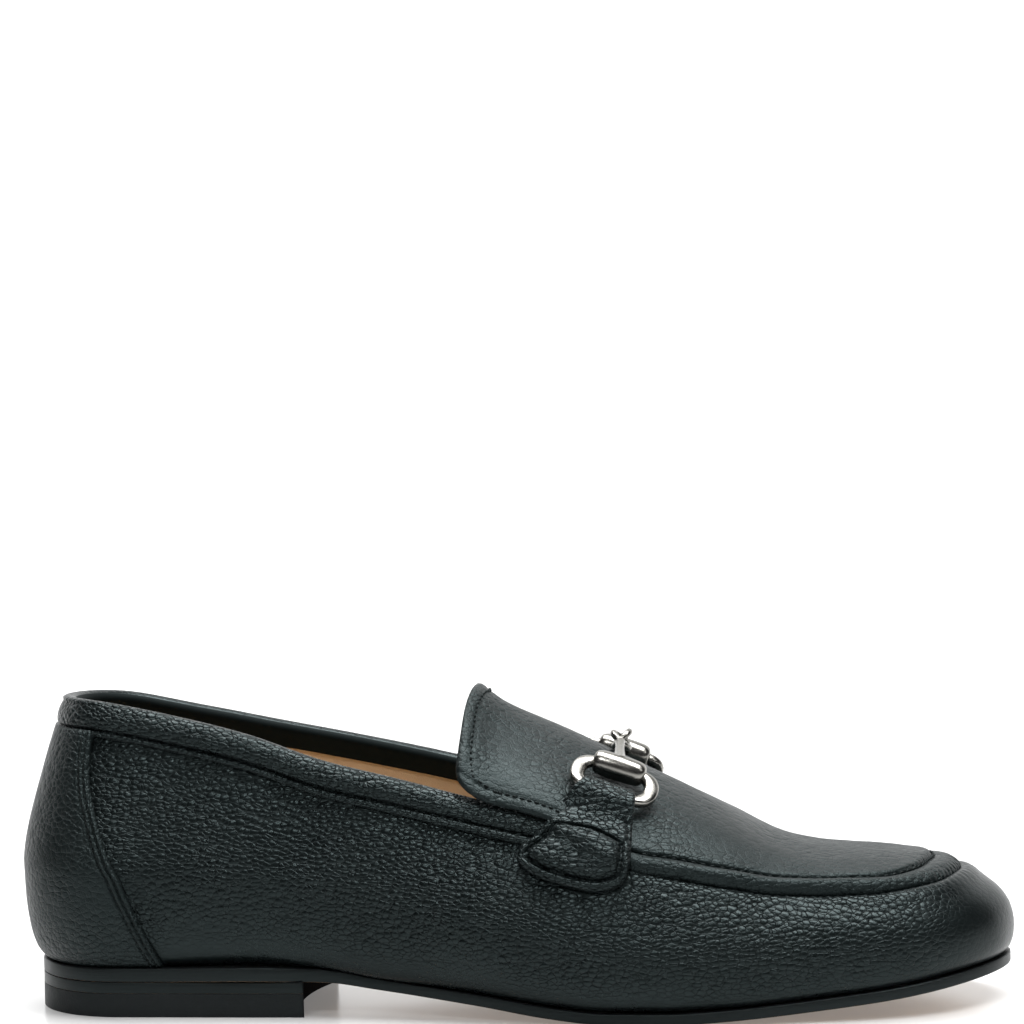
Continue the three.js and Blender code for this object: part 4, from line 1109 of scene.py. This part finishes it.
# Distances from the counter's front edge, closer where its edge is rounded and where it is sewn
COUNTER_STEPS = np.array([
    0, 0.12, 0.3, 0.55, 0.85, 1.15, 1.4, 1.6, 1.8, 2.1, 2.5, 2.9, 3.2, 3.4, 3.6, 3.9, 4.4, 5.2, 6.2,
])
COUNTER_FOOT = 0.02


def counter_piece():
    """Counter panel: one leaf round the heel from the sole to the collar band. Its front edges are rounded,
    a stitched groove follows them at each of COUNTER_ROWS, and the leather swells beside the grooves."""
    share = np.linspace(0, 1, 64)
    # columns from one front edge round the heel to the other, and their distances from the nearer edge
    front = counter_front(mix(COUNTER_FOOT, 0.64, share))
    ahead = rib_at(front[:, None] - COUNTER_STEPS / LENGTH)
    rest = ahead[:, -1:] * (1 - np.linspace(0, 1, 30)[1:])
    half = np.concatenate([ahead, rest], axis=1)
    q = np.concatenate([-half, half[:, ::-1][:, 1:]], axis=1)
    distance = np.concatenate([COUNTER_STEPS, np.linspace(COUNTER_STEPS[-1], 60, 30)[1:]])
    distance = np.concatenate([distance, distance[::-1][1:]])[None, :]
    top = walk(q.ravel(), rim_of(q.ravel()), 1.5 - COLLAR_DEPTH).reshape(q.shape)
    ups = mix(COUNTER_FOOT, top, share[:, None])
    edge = round_edge(distance, 0.9)
    groove = 0.5 * sum(bell(distance, row, 0.34) for row in COUNTER_ROWS)
    swell = 0.28 * bell(distance, 2.5, 0.5) + 0.3 * bell(distance, 0.8, 0.5)
    base = skin(q, ups)
    waves = 0.16 * noise(base, 16.0) + 0.07 * noise(base, 6.0, 1)
    low = ease(ups, 0.0, 0.14)
    outer = over(q, ups, (SEAT_GAP * 0.5 + COUNTER - edge - groove + swell) * mix(0.55, 1, low) + waves * low)
    inner = over(q, ups, np.full(q.shape, 0.05))
    made = leaf("counter_panel", outer, inner, HEEL_LEATHER)
    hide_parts("heel_counter")


def counter_stitches():
    """Two rows of stitches down each front edge of the counter, from the collar band to the sole."""
    for side, word in SIDES:
        for row, inset in enumerate(COUNTER_ROWS):
            up = np.linspace(0.05, 0.66, 240)
            q = rib_at(counter_front(up) - inset / LENGTH, side)
            keep = up < walk(q, rim_of(q), -COLLAR_DEPTH - 0.3)
            q, up = q[keep], up[keep]
            path = over(q, up, np.full(len(q), SEAT_GAP * 0.5 + COUNTER - 0.5))
            stitches(f"counter_thread_{word}_{row + 1}", path, outward(q, up),
                     pitch=2.1, long=1.75, round_=0.26)


counter_piece()
counter_stitches()


# Collar band
def collar_piece():
    """Collar band: a hairpin section carried round the topline. Outside it has a narrow ridge at its lower
    edge, a stitched groove and a puffed band, over the rim it turns in, and inside it ends in a flat edge."""
    reach = rib_at(COLLAR_FRONT)
    q = spaced_ribs(rear=0.9, front=0.9, start=-reach, end=reach)
    at = share_of(q)
    ridge = mix(1.7, 2.6, ease(at, 0.1, 0.5))
    down, height = [], []

    def add(depth_below, above_last):
        """The next point of the section: how far below the rim, and how far over the last."""
        down.append(np.broadcast_to(depth_below, q.shape))
        height.append(np.broadcast_to(above_last, q.shape))

    # the ridge at the lower edge, then the stitched groove
    add(COLLAR_DEPTH, 0.1)
    for a in np.linspace(0, np.pi, 9)[:-1]:
        add(COLLAR_DEPTH - ridge / 2 + np.cos(a) * ridge / 2, 0.25 + 1.25 * np.sin(a) ** 0.8)
    band = COLLAR_DEPTH - ridge
    add(band - 0.05, 0.35)
    add(band - 0.25, 0.28)
    add(band - 0.5, 0.6)
    # the puffed band, the turn over the rim and the strip inside
    for t in np.linspace(0.06, 1, 16):
        puff = np.sin(np.pi * (0.1 + 0.68 * t)) ** 0.62
        add((band - 0.5) * (1 - t), GAP + COLLAR_PUFF * puff * mix(0.62, 1.0, ease(at, 0.01, 0.16)))
    highest = GAP + COLLAR_PUFF * 0.7
    middle = (highest - WALL - COLLAR_INSIDE) / 2
    for a in np.linspace(0, np.pi, 10)[1:]:
        add(-COLLAR_RISE * np.sin(a), middle + (highest - middle) * np.cos(a))
    strip = mix(COLLAR_LINING + 5.5, COLLAR_LINING - 0.4, ease(at, 0.13, 0.27))
    for t in np.linspace(0, 1, 8)[1:]:
        add(strip * t, -WALL - COLLAR_INSIDE + 0.55 * t)
    add(strip + 0.25, -WALL - 0.6)
    add(strip, -WALL - 0.1)
    add(0.5, -WALL)
    add(0.5, 0.1)
    down, height = np.stack(down, 1), np.stack(height, 1)
    rim = rim_of(q)
    lengths = climbed(q)
    target = length_at(lengths, rim[:, None]) - np.maximum(down, 0)
    ups = share_at(lengths, target)
    climb = unit(skin(q, rim) - skin(q, rim - 0.01))[:, None]
    base = skin(q[:, None], ups)
    outwards = outward(q[:, None], ups)
    above = np.maximum(-down, 0)[..., None]
    puffed = ease(height, 0.9, 2.0)
    height = height + puffed * (0.16 * noise(base + outwards * 3, 5.5) + 0.1 * noise(base, 13.0, 1))
    rings = base + outwards * height[..., None] + climb * above
    # the grain ends where the band turns in
    mark = 1 - ease(np.arange(rings.shape[1]), 29, 33)
    made = tube("collar", rings, BAND, {"grain": np.broadcast_to(mark, rings.shape[:2])})
    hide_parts("collar_band")


collar_piece()


# Apron and tongue
MIDDLE_STEPS = 15

# Distance inside the edge, and height of the bead and of the flat tongue there
SECTIONS = np.array([
    [0.00, -0.9, 0.55],
    [0.10, -0.3, 1.25],
    [0.30, 0.35, 1.62],
    [0.60, 1.0, 1.85],
    [1.00, 1.6, 1.96],
    [1.50, 2.1, 2.0],
    [2.10, 2.5, 2.02],
    [2.80, 2.68, 1.96],
    [3.50, 2.62, 1.62],
    [4.10, 2.42, 1.94],
    [4.60, 2.15, 2.04],
    [5.00, 1.9, 2.06],
    [5.30, 1.55, 2.06],
    [5.55, 0.95, 2.06],
    [5.75, 0.35, 2.05],
    [5.95, 0.9, 2.05],
    [6.30, 1.75, 2.04],
    [6.80, 2.02, 2.03],
    [7.50, 2.1, 2.02],
    [8.60, 2.04, 2.0],
    [10.5, 2.0, 2.0],
])
NEAR_EDGE = SECTIONS[:, 0]


def tongue_tip(w):
    """Where the tongue ends, from the crest (w = 0) to its edge (w = 1): a bow of half a sine, and a corner
    of a quarter of an ellipse."""
    corner = np.maximum(w - TIP_CORNER, 0) / (1 - TIP_CORNER)
    bow = TIP_BOW * np.sin(np.pi * np.minimum(w, 0.5))
    return TONGUE_TIP - bow + TIP_ROUND * (1 - np.sqrt(1 - corner ** 2))


def bead_spread(at):
    """The bead is half as wide again round the toe."""
    return 1 + 0.5 * ease(at, 0.88, 0.985)


def tongue_lift(at, distance):
    """The tongue's edge lies over the collar band, and its middle doesn't rise as far."""
    fade = ease(1 - np.clip((distance - 5) / 26, 0, 1), 0, 1)
    return np.maximum(apron_lift(at), 0) * fade * (COLLAR_PUFF + GAP)


def tongue_curl(at):
    """The tongue's end curls up a little."""
    return 0.9 * ease(1 - (at - TONGUE_TIP) / 0.03, 0, 1)


def apron_ribs():
    """The apron's ribs from the tongue's end to the toe, and how much of the end's outline each takes."""
    first = rib_at(TONGUE_TIP)
    tail = spaced_ribs(rear=0.85, front=0.62, start=first)
    tail = np.concatenate([tail, [1.0]]) if tail[-1] < 1 else tail
    return tail, np.clip(1 - (tail - first) / 0.045, 0, 1)[:, None] ** 1.5


def apron_side(sign, tail, w, fade):
    """Ribs, shares and distances from the edge on one side: columns at fixed distances from the edge, then
    even shares up to the crest. The tongue's rounded end is drawn in over its first ribs."""
    q = np.clip(tail[:, None] + (rib_at(tongue_tip(w)) - tail[0]) * fade, 0, 1)
    at = share_of(q)
    lengths = climbed(sign * tail)
    at_edge = length_at(lengths, apron_up(at))
    distance = np.concatenate([NEAR_EDGE, np.zeros(MIDDLE_STEPS)])
    up = share_at(lengths, at_edge + distance * bead_spread(at))
    last_near = up[:, len(NEAR_EDGE) - 1:len(NEAR_EDGE)]
    up[:, len(NEAR_EDGE):] = last_near + (1 - last_near) * np.linspace(0, 1, MIDDLE_STEPS + 1)[1:]
    return sign * q, up, (length_at(lengths, up) - at_edge) / bead_spread(at), at


def apron_piece():
    """Apron and tongue as one leaf. Its section runs from the edge over a bead, a stitched groove and a flat
    middle. The bead is pleated, and it flattens into the tongue's sewn edge."""
    tail, fade = apron_ribs()
    columns = len(NEAR_EDGE) + MIDDLE_STEPS
    w = 1 - np.arange(columns) / (columns - 1)
    sides = []
    for sign in (-1, 1):
        q, up, distance, at = apron_side(sign, tail, w, fade)
        base = skin(q, up)
        normal = outward(q, up)
        bead = ease(at, 0.60, 0.640)
        tip = ease(at, 0.82, 0.95)
        seam, tongue = (np.interp(distance, NEAR_EDGE, SECTIONS[:, k]) for k in (1, 2))
        section = mix(tongue, seam, bead) * np.where(distance < 6.5, mix(1.0, 0.72, tip), 1.0)
        # behind the toe the bead is a fuller roll
        roll = bead * bell(distance, 3.0, 1.6) * 0.3 * ease(at, 0.66, 0.74) * (1 - ease(at, 0.8, 0.92))
        run = run_of(base[:, 0])[:, None]
        beat = run / PLEAT + 0.25 * noise(base[:, 0], 9.0)[:, None]
        gather = (pleats(beat) - 0.7) * bead * np.exp(-distance / 1.1)
        pulls = np.abs(np.sin(np.pi * run / BEAD_PITCH)) ** 0.8 - 0.6
        dash = pulls * bead * 0.3 * bell(distance, 6.1, 0.7)
        waves = (0.22 * noise(base, 19.0) + 0.09 * noise(base, 7.0, 1)) * ease(distance, 6.5, 12.0)
        waves += 0.05 * noise(base, 4.0, 2)
        raise_ = tongue_lift(at, distance)
        curl = (1 - bead) * tongue_curl(at)
        from_tip = (at - tongue_tip(w)) * LENGTH
        section = section - 0.26 * (1 - bead) * bell(from_tip, TIP_STITCH, 0.5) * ease(distance, 3.4, 4.4)
        height = section + roll + raise_ + gather + dash + waves + curl
        under = SEAT_GAP * 0.5 * (1 - bead) + raise_ + curl * 0.9 + np.minimum(section, 0) * bead
        # the leaf closes with a rounded edge at the tongue's end
        rounding = 1 - round_edge(tail[:, None] - tail[0], 0.004)
        middle = 0.5 * section + raise_ + curl
        upper = mix(middle, height, rounding)
        lower = np.minimum(mix(middle - 0.1, under, rounding), upper - 0.02)
        sides.append([base + normal * upper[..., None], base + normal * lower[..., None]])
    outer, inner = (np.concatenate([one, other[:, ::-1][:, 1:]], axis=1) for one, other in zip(*sides))
    made = leaf("apron_and_tongue", outer, inner, SMOOTH, folded=True)
    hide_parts("apron_tongue")


def apron_stitches():
    """Stitches in the groove inside the bead, from the strap right round the toe to the other strap."""
    half = np.linspace(rib_at(0.638), rib_at(1.0), 900)
    at = share_of(half)
    out, in_ = (walk(sign * half, apron_up(at), BEAD_STITCH * bead_spread(at)) for sign in (-1, 1))
    q, up = np.concatenate([-half, half[::-1]]), np.concatenate([out, in_[::-1]])
    path = over(q, up, np.full(len(q), 1.15))
    keep = apart(path, 1e-4)
    stitches("apron_thread", path[keep], outward(q, up)[keep],
             pitch=BEAD_PITCH, long=2.2, round_=0.3, sink=0.3)


def tongue_stitches():
    """Stitches inside the tongue's edge, from strap to strap round its end: down one side, across at the same
    inset from the end's outline, and up the other side."""
    w = np.clip(np.linspace(1, 0, 160) - 0.09, 0, 1)
    side_q = rib_at(np.linspace(0.598, TONGUE_TIP + TIP_ROUND + 0.011, 220))
    end_q = rib_at(tongue_tip(w) + TIP_STITCH / LENGTH)
    end_edge = apron_up(share_of(end_q))
    end_up = end_edge + (1 - end_edge) * (1 - w)
    halves = []
    for sign in (-1, 1):
        side = np.stack([sign * side_q, walk(sign * side_q, apron_up(share_of(side_q)), TONGUE_STITCH)], -1)
        inside = end_up > walk(sign * end_q, end_edge, TONGUE_STITCH)
        halves.append(np.concatenate([side, np.stack([sign * end_q, end_up], -1)[inside]]))
    q, up = np.concatenate([halves[0], halves[1][::-1]]).T
    at = share_of(q)
    lengths = climbed(q)
    distance = (length_at(lengths, up[:, None]) - length_at(lengths, apron_up(at)[:, None]))[:, 0]
    path = over(q, up, 1.78 + tongue_lift(at, distance) + tongue_curl(at))
    keep = apart(path, 1e-3)
    stitches("tongue_thread", path[keep], outward(q, up)[keep], pitch=2.2, long=1.7, round_=0.3, sink=0.3)


apron_piece()
apron_stitches()
tongue_stitches()


# Straps
def to_outline(points, outline):
    """Distance from each point to a closed outline of straight pieces."""
    a, b = outline, np.roll(outline, -1, 0)
    run = b - a
    t = ((points[..., None, :] - a) * run).sum(-1) / (run ** 2).sum(-1)
    nearest = a + np.clip(t, 0, 1)[..., None] * run
    return np.linalg.norm(points[..., None, :] - nearest, axis=-1).min(-1)


def strap_place(side, row, across):
    """Rib and share of a place on a strap, from its fold (row 0) to its end and from its rear edge across."""
    return rib_at(mix(strap_rear(row), strap_front(row), across), side), strap_up(row)


def strap_rim(side):
    """The strap's outline: down its rear edge and up its front one."""
    row = np.linspace(0, 1, 50)
    rear, front = strap_place(side, row, 0 * row), strap_place(side, row[::-1], 0 * row + 1)
    return np.concatenate([skin(*rear), skin(*front)])


def strap_piece(side, word):
    """Strap: rows from its fold to its round end. It bulges over the ring, steps down from the apron, and
    its end has a flat rim, a stitched groove and a padded middle with level wrinkles."""
    row = np.linspace(0, 1, 120)[:, None]
    even = np.linspace(0, 1, 72)
    across = mix((1 - np.cos(np.pi * even)) / 2, even, 0.75)[None, :]
    row, across = np.broadcast_arrays(row, across)
    q, up = strap_place(side, row, across)
    base = skin(q, up)
    normal = outward(q, up)
    inside = to_outline(base, strap_rim(side))
    edge_up = apron_up(share_of(q))
    on_apron = np.linalg.norm(base - skin(q, edge_up), axis=-1) * np.sign(up - edge_up)
    seat_height = 0.35 + (APRON + SEAT_GAP + 0.2) * ease(on_apron, -5.5, 0.5)
    loop = (2 * WIRE_THICK + STRAP / 2) * (1 - ease(row, 0.12, 0.30))
    # the padded end starts below a bowed line, and its padding inside the flat rim
    below_line = (row - 0.45 + 0.07 * np.sin(np.pi * across)) * STRAP_RUN
    in_pad = np.minimum(inside - STRAP_RIM + 0.7, below_line)
    fill = np.clip(in_pad / 7, 0, 1)
    pad = STRAP_PAD * ease(in_pad, -0.1, 1.7) + 1.5 * fill * (2 - fill)
    piping = 0.75 * bell(inside, 1.35, 0.95)
    groove = 0.75 * bell(in_pad, 0, 0.38) * ease(below_line, -1.5, -0.5)
    band = 0.75 * ease(-below_line, -0.2, 0.9) * (1 - ease(-below_line, 3, 9)) * ease(inside, 0.5, 2.5)
    edge = 1.1 * round_edge(inside, 1.0)
    level = base[..., 2] + 0.9 * noise(base, 7.0) + 0.22 * (base[..., 0] - STRAP_MIDDLE)
    wrinkles = 0.42 * (pleats(level / 2.5) - 0.7) * ease(in_pad, 0.3, 2.0) * (0.7 + 0.5 * noise(base, 6.0, 2))
    wrinkles += 0.3 * noise(base * [0.6, 1, 1.4], 2.6, 1) * ease(in_pad, 0.2, 1.5)
    height = seat_height + STRAP * 0.85 + loop + ease(below_line, -0.6, 0.6) * (pad + piping) - groove
    height += band - edge + wrinkles + 0.12 * noise(base, 7.0, 2)
    closing = 1 - round_edge(row * STRAP_RUN, 3.4)
    middle = seat_height + 0.5 * STRAP + 0.5 * loop
    outer = base + normal * mix(middle, height, closing)[..., None]
    inner = base + normal * mix(middle - 0.1, seat_height - 0.25, closing)[..., None]
    made = leaf(f"strap_{word}", outer, inner, STRAP_LEATHER)
    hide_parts(f"strap_{NODE_SIDES[side]}")


SECTORS = 180


def strap_groove(side):
    """The ring along the groove of the padded end, and its normals: points of a close grid that lie
    STRAP_RIM inside the outline, averaged in sectors round the pad's middle."""
    fine = 260
    row, across = np.meshgrid(np.linspace(0.47, 0.999, fine), np.linspace(0.0, 1.0, fine), indexing="ij")
    q, up = strap_place(side, row, across)
    points, normals = skin(q, up), outward(q, up)
    relative = points - skin(*strap_place(side, np.array(0.74), np.array(0.5)))
    normal = unit(normals[fine // 2, fine // 2])
    level = unit(np.cross([0.0, 0.0, 1.0], normal))
    angle = np.arctan2(relative @ np.cross(normal, level), relative @ level)
    close = np.abs(to_outline(points, strap_rim(side)) - STRAP_RIM) < 0.16
    sector = np.digitize(angle[close], np.linspace(-np.pi, np.pi, SECTORS + 1)) - 1
    count = np.bincount(sector, minlength=SECTORS)

    def mean(values):
        """The mean of values in each sector that has any."""
        sums = np.stack([np.bincount(sector, values[close][:, k], SECTORS) for k in range(3)], -1)
        return sums[count > 0] / count[count > 0][:, None]

    return mean(points), unit(mean(normals))


def strap_stitches(side, word):
    """Stitches round the padded end, on its groove smoothed over seven neighbouring points."""
    ring, normals = strap_groove(side)
    ring = sum(np.roll(ring, k, 0) for k in range(-3, 4)) / 7
    ring, normals = np.concatenate([ring, ring[:1]]), np.concatenate([normals, normals[:1]])
    stitches(f"strap_thread_{word}", ring + normals * 2.15, normals, pitch=2.3, long=1.8, round_=0.27)


for side, word in SIDES:
    strap_piece(side, word)
    strap_stitches(side, word)


# Bit
# How far the ring and the barrel lean on each side, and how much stouter the barrel is than its solid
BIT_LEAN = {-1: 6.0, 1: 9.0}
BARREL_STOUT = 1.12
RING_STEPS = 160


def turned_by(a, b, angle):
    """Two square directions turned in their own plane."""
    return a * np.cos(angle) + b * np.sin(angle), b * np.cos(angle) - a * np.sin(angle)


def bit_frame(side):
    """Places of the barrel, the fold and the joint of the two bars, and the ring's own directions. The bit
    hangs with its toe end a little lower."""
    q = rib_at(BIT_AT - BIT_SLANT if side > 0 else BIT_AT, side)
    wire = SEAT_GAP + APRON + BIT_CLEAR + WIRE_THICK
    barrel = over(q, RING_BARREL, wire + BARREL_ROUND - WIRE_THICK + GAP)
    fold = over(q, RING_FOLD, wire + STRAP / 2)
    step = side * 0.01
    between = (RING_FOLD + RING_BARREL) / 2
    onward = unit(skin(q + step, between) - skin(q - step, between))
    across = unit(fold - barrel)
    along = unit(onward - across * (onward @ across))
    flat = unit(np.cross(along, across))
    centre, half = (barrel + fold) / 2, np.linalg.norm(fold - barrel) / 2
    lean = np.radians(BIT_LEAN[side]) * np.sign(along[0])
    along, across = turned_by(along, across, lean)
    barrel = centre - across * half
    middle = over(rib_at(BIT_AT - BIT_SLANT / 2, side), 1.0, SEAT_GAP + APRON + GAP + EYE + EYE_WIRE / 2)
    return dict(barrel=barrel, along=along, across=across, flat=flat, centre=centre, half=half, middle=middle)


def circle(count):
    """Even angles once round."""
    return np.linspace(0, 2 * np.pi, count + 1)[:-1]


def raised_to(value, power):
    """A power of a number's size, with the number's sign."""
    return np.sign(value) * np.abs(value) ** power


def ring_piece(side, word):
    """Ring: an oval wire along a rounded square, wider at its sides than in the barrel and the strap."""
    f = bit_frame(side)
    turn = circle(192)
    points = np.stack([raised_to(np.cos(turn), 2 / RING_SQUARE) * RING_LONG,
                       raised_to(np.sin(turn), 2 / RING_SQUARE) * f["half"]], -1)
    loop = np.concatenate([points, points[:1]])
    run = run_of(loop)
    even = np.linspace(0, run[-1], RING_STEPS + 1)[:-1]
    x, y = np.interp(even, run, loop[:, 0]), np.interp(even, run, loop[:, 1])
    wide = mix(WIRE_NARROW, WIRE_WIDE, ease(np.abs(x) / RING_LONG, 0.55, 0.98))
    out = unit(f["along"] * (x / RING_LONG ** 2)[:, None] + f["across"] * (y / f["half"] ** 2)[:, None])
    here = f["centre"] + f["along"] * x[:, None] + f["across"] * y[:, None]
    a = circle(24)
    rings = here[:, None] + out[:, None] * (raised_to(np.cos(a), 0.72)[:, None] * wide[:, None, None])
    rings = rings + f["flat"] * (raised_to(np.sin(a), 0.72) * WIRE_THICK)[:, None]
    made = piece(f"ring_{word}", rings, grid_faces(*rings.shape[:2], True, True), METAL)
    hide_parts(f"bit_ring_{NODE_SIDES[side]}")


# Radius and place along half of the barrel, as shares
BARREL_PROFILE = np.array([
    [0.02, -1.0], [0.25, -0.995], [0.45, -0.98], [0.62, -0.955], [0.76, -0.915], [0.87, -0.855],
    [0.94, -0.78], [0.985, -0.68], [1.01, -0.55], [1.03, -0.4], [1.045, -0.2], [1.05, 0.0],
])
BARREL_SIDES = 64
NECK_SIDES = 32


def turned(profile, axis, across, place, sides):
    """A profile of radii and heights turned about an axis."""
    across = unit(across - axis * (across @ axis))
    third = np.cross(axis, across)
    a = circle(sides)
    ring = across * np.cos(a)[:, None] + third * np.sin(a)[:, None]
    return place + axis * profile[:, 1][:, None, None] + ring * profile[:, 0][:, None, None]


def bar_piece(side, word):
    """Bar: a rounded barrel, a neck that narrows from it, and an eye that leans to hold the other bar's."""
    f = bit_frame(side)
    profile = np.concatenate([BARREL_PROFILE, (BARREL_PROFILE * [1, -1])[::-1][1:]])
    profile = profile * [BARREL_ROUND * BARREL_STOUT, BARREL_LONG]
    axis_place = f["barrel"] + f["across"] * BARREL_ROUND / 5
    barrel = turned(profile, f["along"], f["across"], axis_place, BARREL_SIDES)
    inward = np.array([0.0, side, 0.0])
    eye_centre = f["middle"] + inward * EYE / 2
    path = eye_centre + inward * EYE - axis_place
    t = np.linspace(0, 1, 24)
    radius = NECK_ROUND * (0.62 + (2.1 - 0.62) * np.exp(-t / 0.26)) + 0.25 * EYE_WIRE * ease(t, 0.75, 1)
    neck_profile = np.stack([radius, t * np.linalg.norm(path)], -1)
    neck = turned(neck_profile, unit(path), f["along"], axis_place, NECK_SIDES)
    a, b = circle(64), circle(20)
    flat_x, flat_z = turned_by(np.array([1.0, 0, 0]), np.array([0, 0, 1.0]), -np.pi / 2 - side * np.pi / 4)
    out = flat_x * np.cos(a)[:, None] + np.array([0, 1.0, 0]) * np.sin(a)[:, None]
    wire = out[:, None] * (EYE + EYE_WIRE * np.cos(b))[:, None]
    eye = eye_centre + wire + flat_z * (EYE_WIRE * np.sin(b))[:, None]
    points, faces, first = [], [], 0
    for grid, wrap_rows in ((barrel, False), (neck, False), (eye, True)):
        part = grid_faces(*grid.shape[:2], wrap_rows, True)
        flat = grid.reshape(-1, 3)
        if volume_of(flat - flat.mean(0), part) < 0:
            part = part[:, ::-1]
        faces.append(part + first)
        points.append(flat)
        first += len(flat)
    barrel_end, neck_end = np.arange(BARREL_SIDES), np.arange(NECK_SIDES)
    neck_first = len(profile) * BARREL_SIDES
    caps = [
        barrel_end, barrel_end[::-1] + neck_first - BARREL_SIDES,
        neck_end + neck_first, neck_end[::-1] + neck_first + (len(t) - 1) * NECK_SIDES,
    ]
    made = piece(f"bar_{word}", np.concatenate(points), np.concatenate(faces), METAL, caps=caps)
    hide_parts(f"bit_bar_{NODE_SIDES[side]}")


for side, word in SIDES:
    ring_piece(side, word)
    bar_piece(side, word)


# Floor, light and camera
def stage():
    """A pale floor that curves up into a backdrop far behind the shoe."""
    bend = np.linspace(0, np.pi / 2, 20)[1:]
    run = np.concatenate([np.linspace(-4, 3, 30), 3 + 2 * np.sin(bend), [5.0]])
    rise = np.concatenate([np.zeros(30), 2 * (1 - np.cos(bend)), [7.0]])
    x = np.linspace(-7, 7, 3)
    points = np.stack(np.broadcast_arrays(x[None, :], run[:, None], rise[:, None]), -1)
    mesh = bpy.data.meshes.new("floor")
    mesh.from_pydata(points.reshape(-1, 3).tolist(), [], grid_faces(len(run), 3).tolist())
    mesh.polygons.foreach_set("use_smooth", np.ones(len(mesh.polygons), bool))
    made, tree, shader, place = start(
        "floor_white", Base_Color=(0.64, 0.64, 0.637, 1), Roughness=0.22, Specular_IOR_Level=0.5,
        Emission_Strength=1.0)
    glow = remap(tree, parts_of(tree, place)["Y"], 0.3, 1.6, 0.0, 1.0)
    tree.links.new(blend(tree, glow, (0.16, 0.16, 0.16), (1.0, 1.0, 1.0)), shader.inputs["Emission Color"])
    mesh.materials.append(made)
    floor = bpy.data.objects.new("floor", mesh)
    bpy.context.scene.collection.objects.link(floor)


def area(name, place, aim, size, power):
    """A soft box of light, aimed at a point."""
    data = bpy.data.lights.new(name, "AREA")
    data.shape = "RECTANGLE"
    data.size, data.size_y = size
    data.energy = power
    lamp = bpy.data.objects.new(name, data)
    lamp.location = place
    lamp.rotation_euler = (Vector(aim) - Vector(place)).to_track_quat("-Z", "Y").to_euler()
    bpy.context.scene.collection.objects.link(lamp)


def camera():
    """The photograph's camera: 6.5 degrees round and 7.5 up, 1.2 m away, aimed above the shoe so that it
    stands at the foot of the frame, and rolled a little. focal and target_pixel are in pixels."""
    azimuth, elevation, roll, away = np.radians(6.5), np.radians(7.5), np.radians(1.2), 1.2
    frame_side, focal = 1024, 4080.0
    target = (np.array([147.4, 0.0, 45.0]) - ORIGIN) / 1000
    target_pixel = np.array([519.5, 845.0])
    level = np.array([np.sin(azimuth), -np.cos(azimuth), 0.0])
    back = level * np.cos(elevation) + np.array([0.0, 0.0, np.sin(elevation)])
    place = target + back * away
    forward = -back
    right = unit(np.cross(forward, [0, 0, 1.0]))
    right, up = turned_by(right, np.cross(right, forward), -roll)
    # the view's axis lies above and left of the target's pixel
    past = target_pixel - frame_side / 2
    aim = unit(forward - right * past[0] / focal + up * past[1] / focal)
    right = unit(np.cross(aim, up))
    up = np.cross(right, aim)
    data = bpy.data.cameras.new("camera")
    data.sensor_width = 36
    data.lens = focal / frame_side * data.sensor_width
    data.clip_end = 100
    eye = bpy.data.objects.new("camera", data)
    turn = Matrix(np.column_stack([right, up, -aim]).tolist()).to_4x4()
    eye.matrix_world = Matrix.Translation(place.tolist()) @ turn
    bpy.context.scene.collection.objects.link(eye)
    bpy.context.scene.camera = eye


def studio():
    """A faint even light from all round."""
    world = bpy.data.worlds.new("studio")
    world.use_nodes = True
    background = world.node_tree.nodes["Background"].inputs
    background["Color"].default_value = (1, 1, 1, 1)
    background["Strength"].default_value = 0.025
    bpy.context.scene.world = world


stage()
camera()
studio()
area("sky", (0.05, 0.1, 1.4), (0, 0.0, 0.03), (1.7, 0.7), 43)
area("front", (-0.2, -1.5, 1.5), (0, 0, 0.04), (0.7, 0.3), 11)
area("toe_side", (1.5, -0.7, 1.1), (0.05, 0, 0.04), (0.5, 0.4), 2)
area("vamp", (0.75, -0.4, 1.2), (0.09, -0.03, 0.04), (0.35, 0.25), 3)
bpy.context.scene.view_settings.view_transform = "Standard"
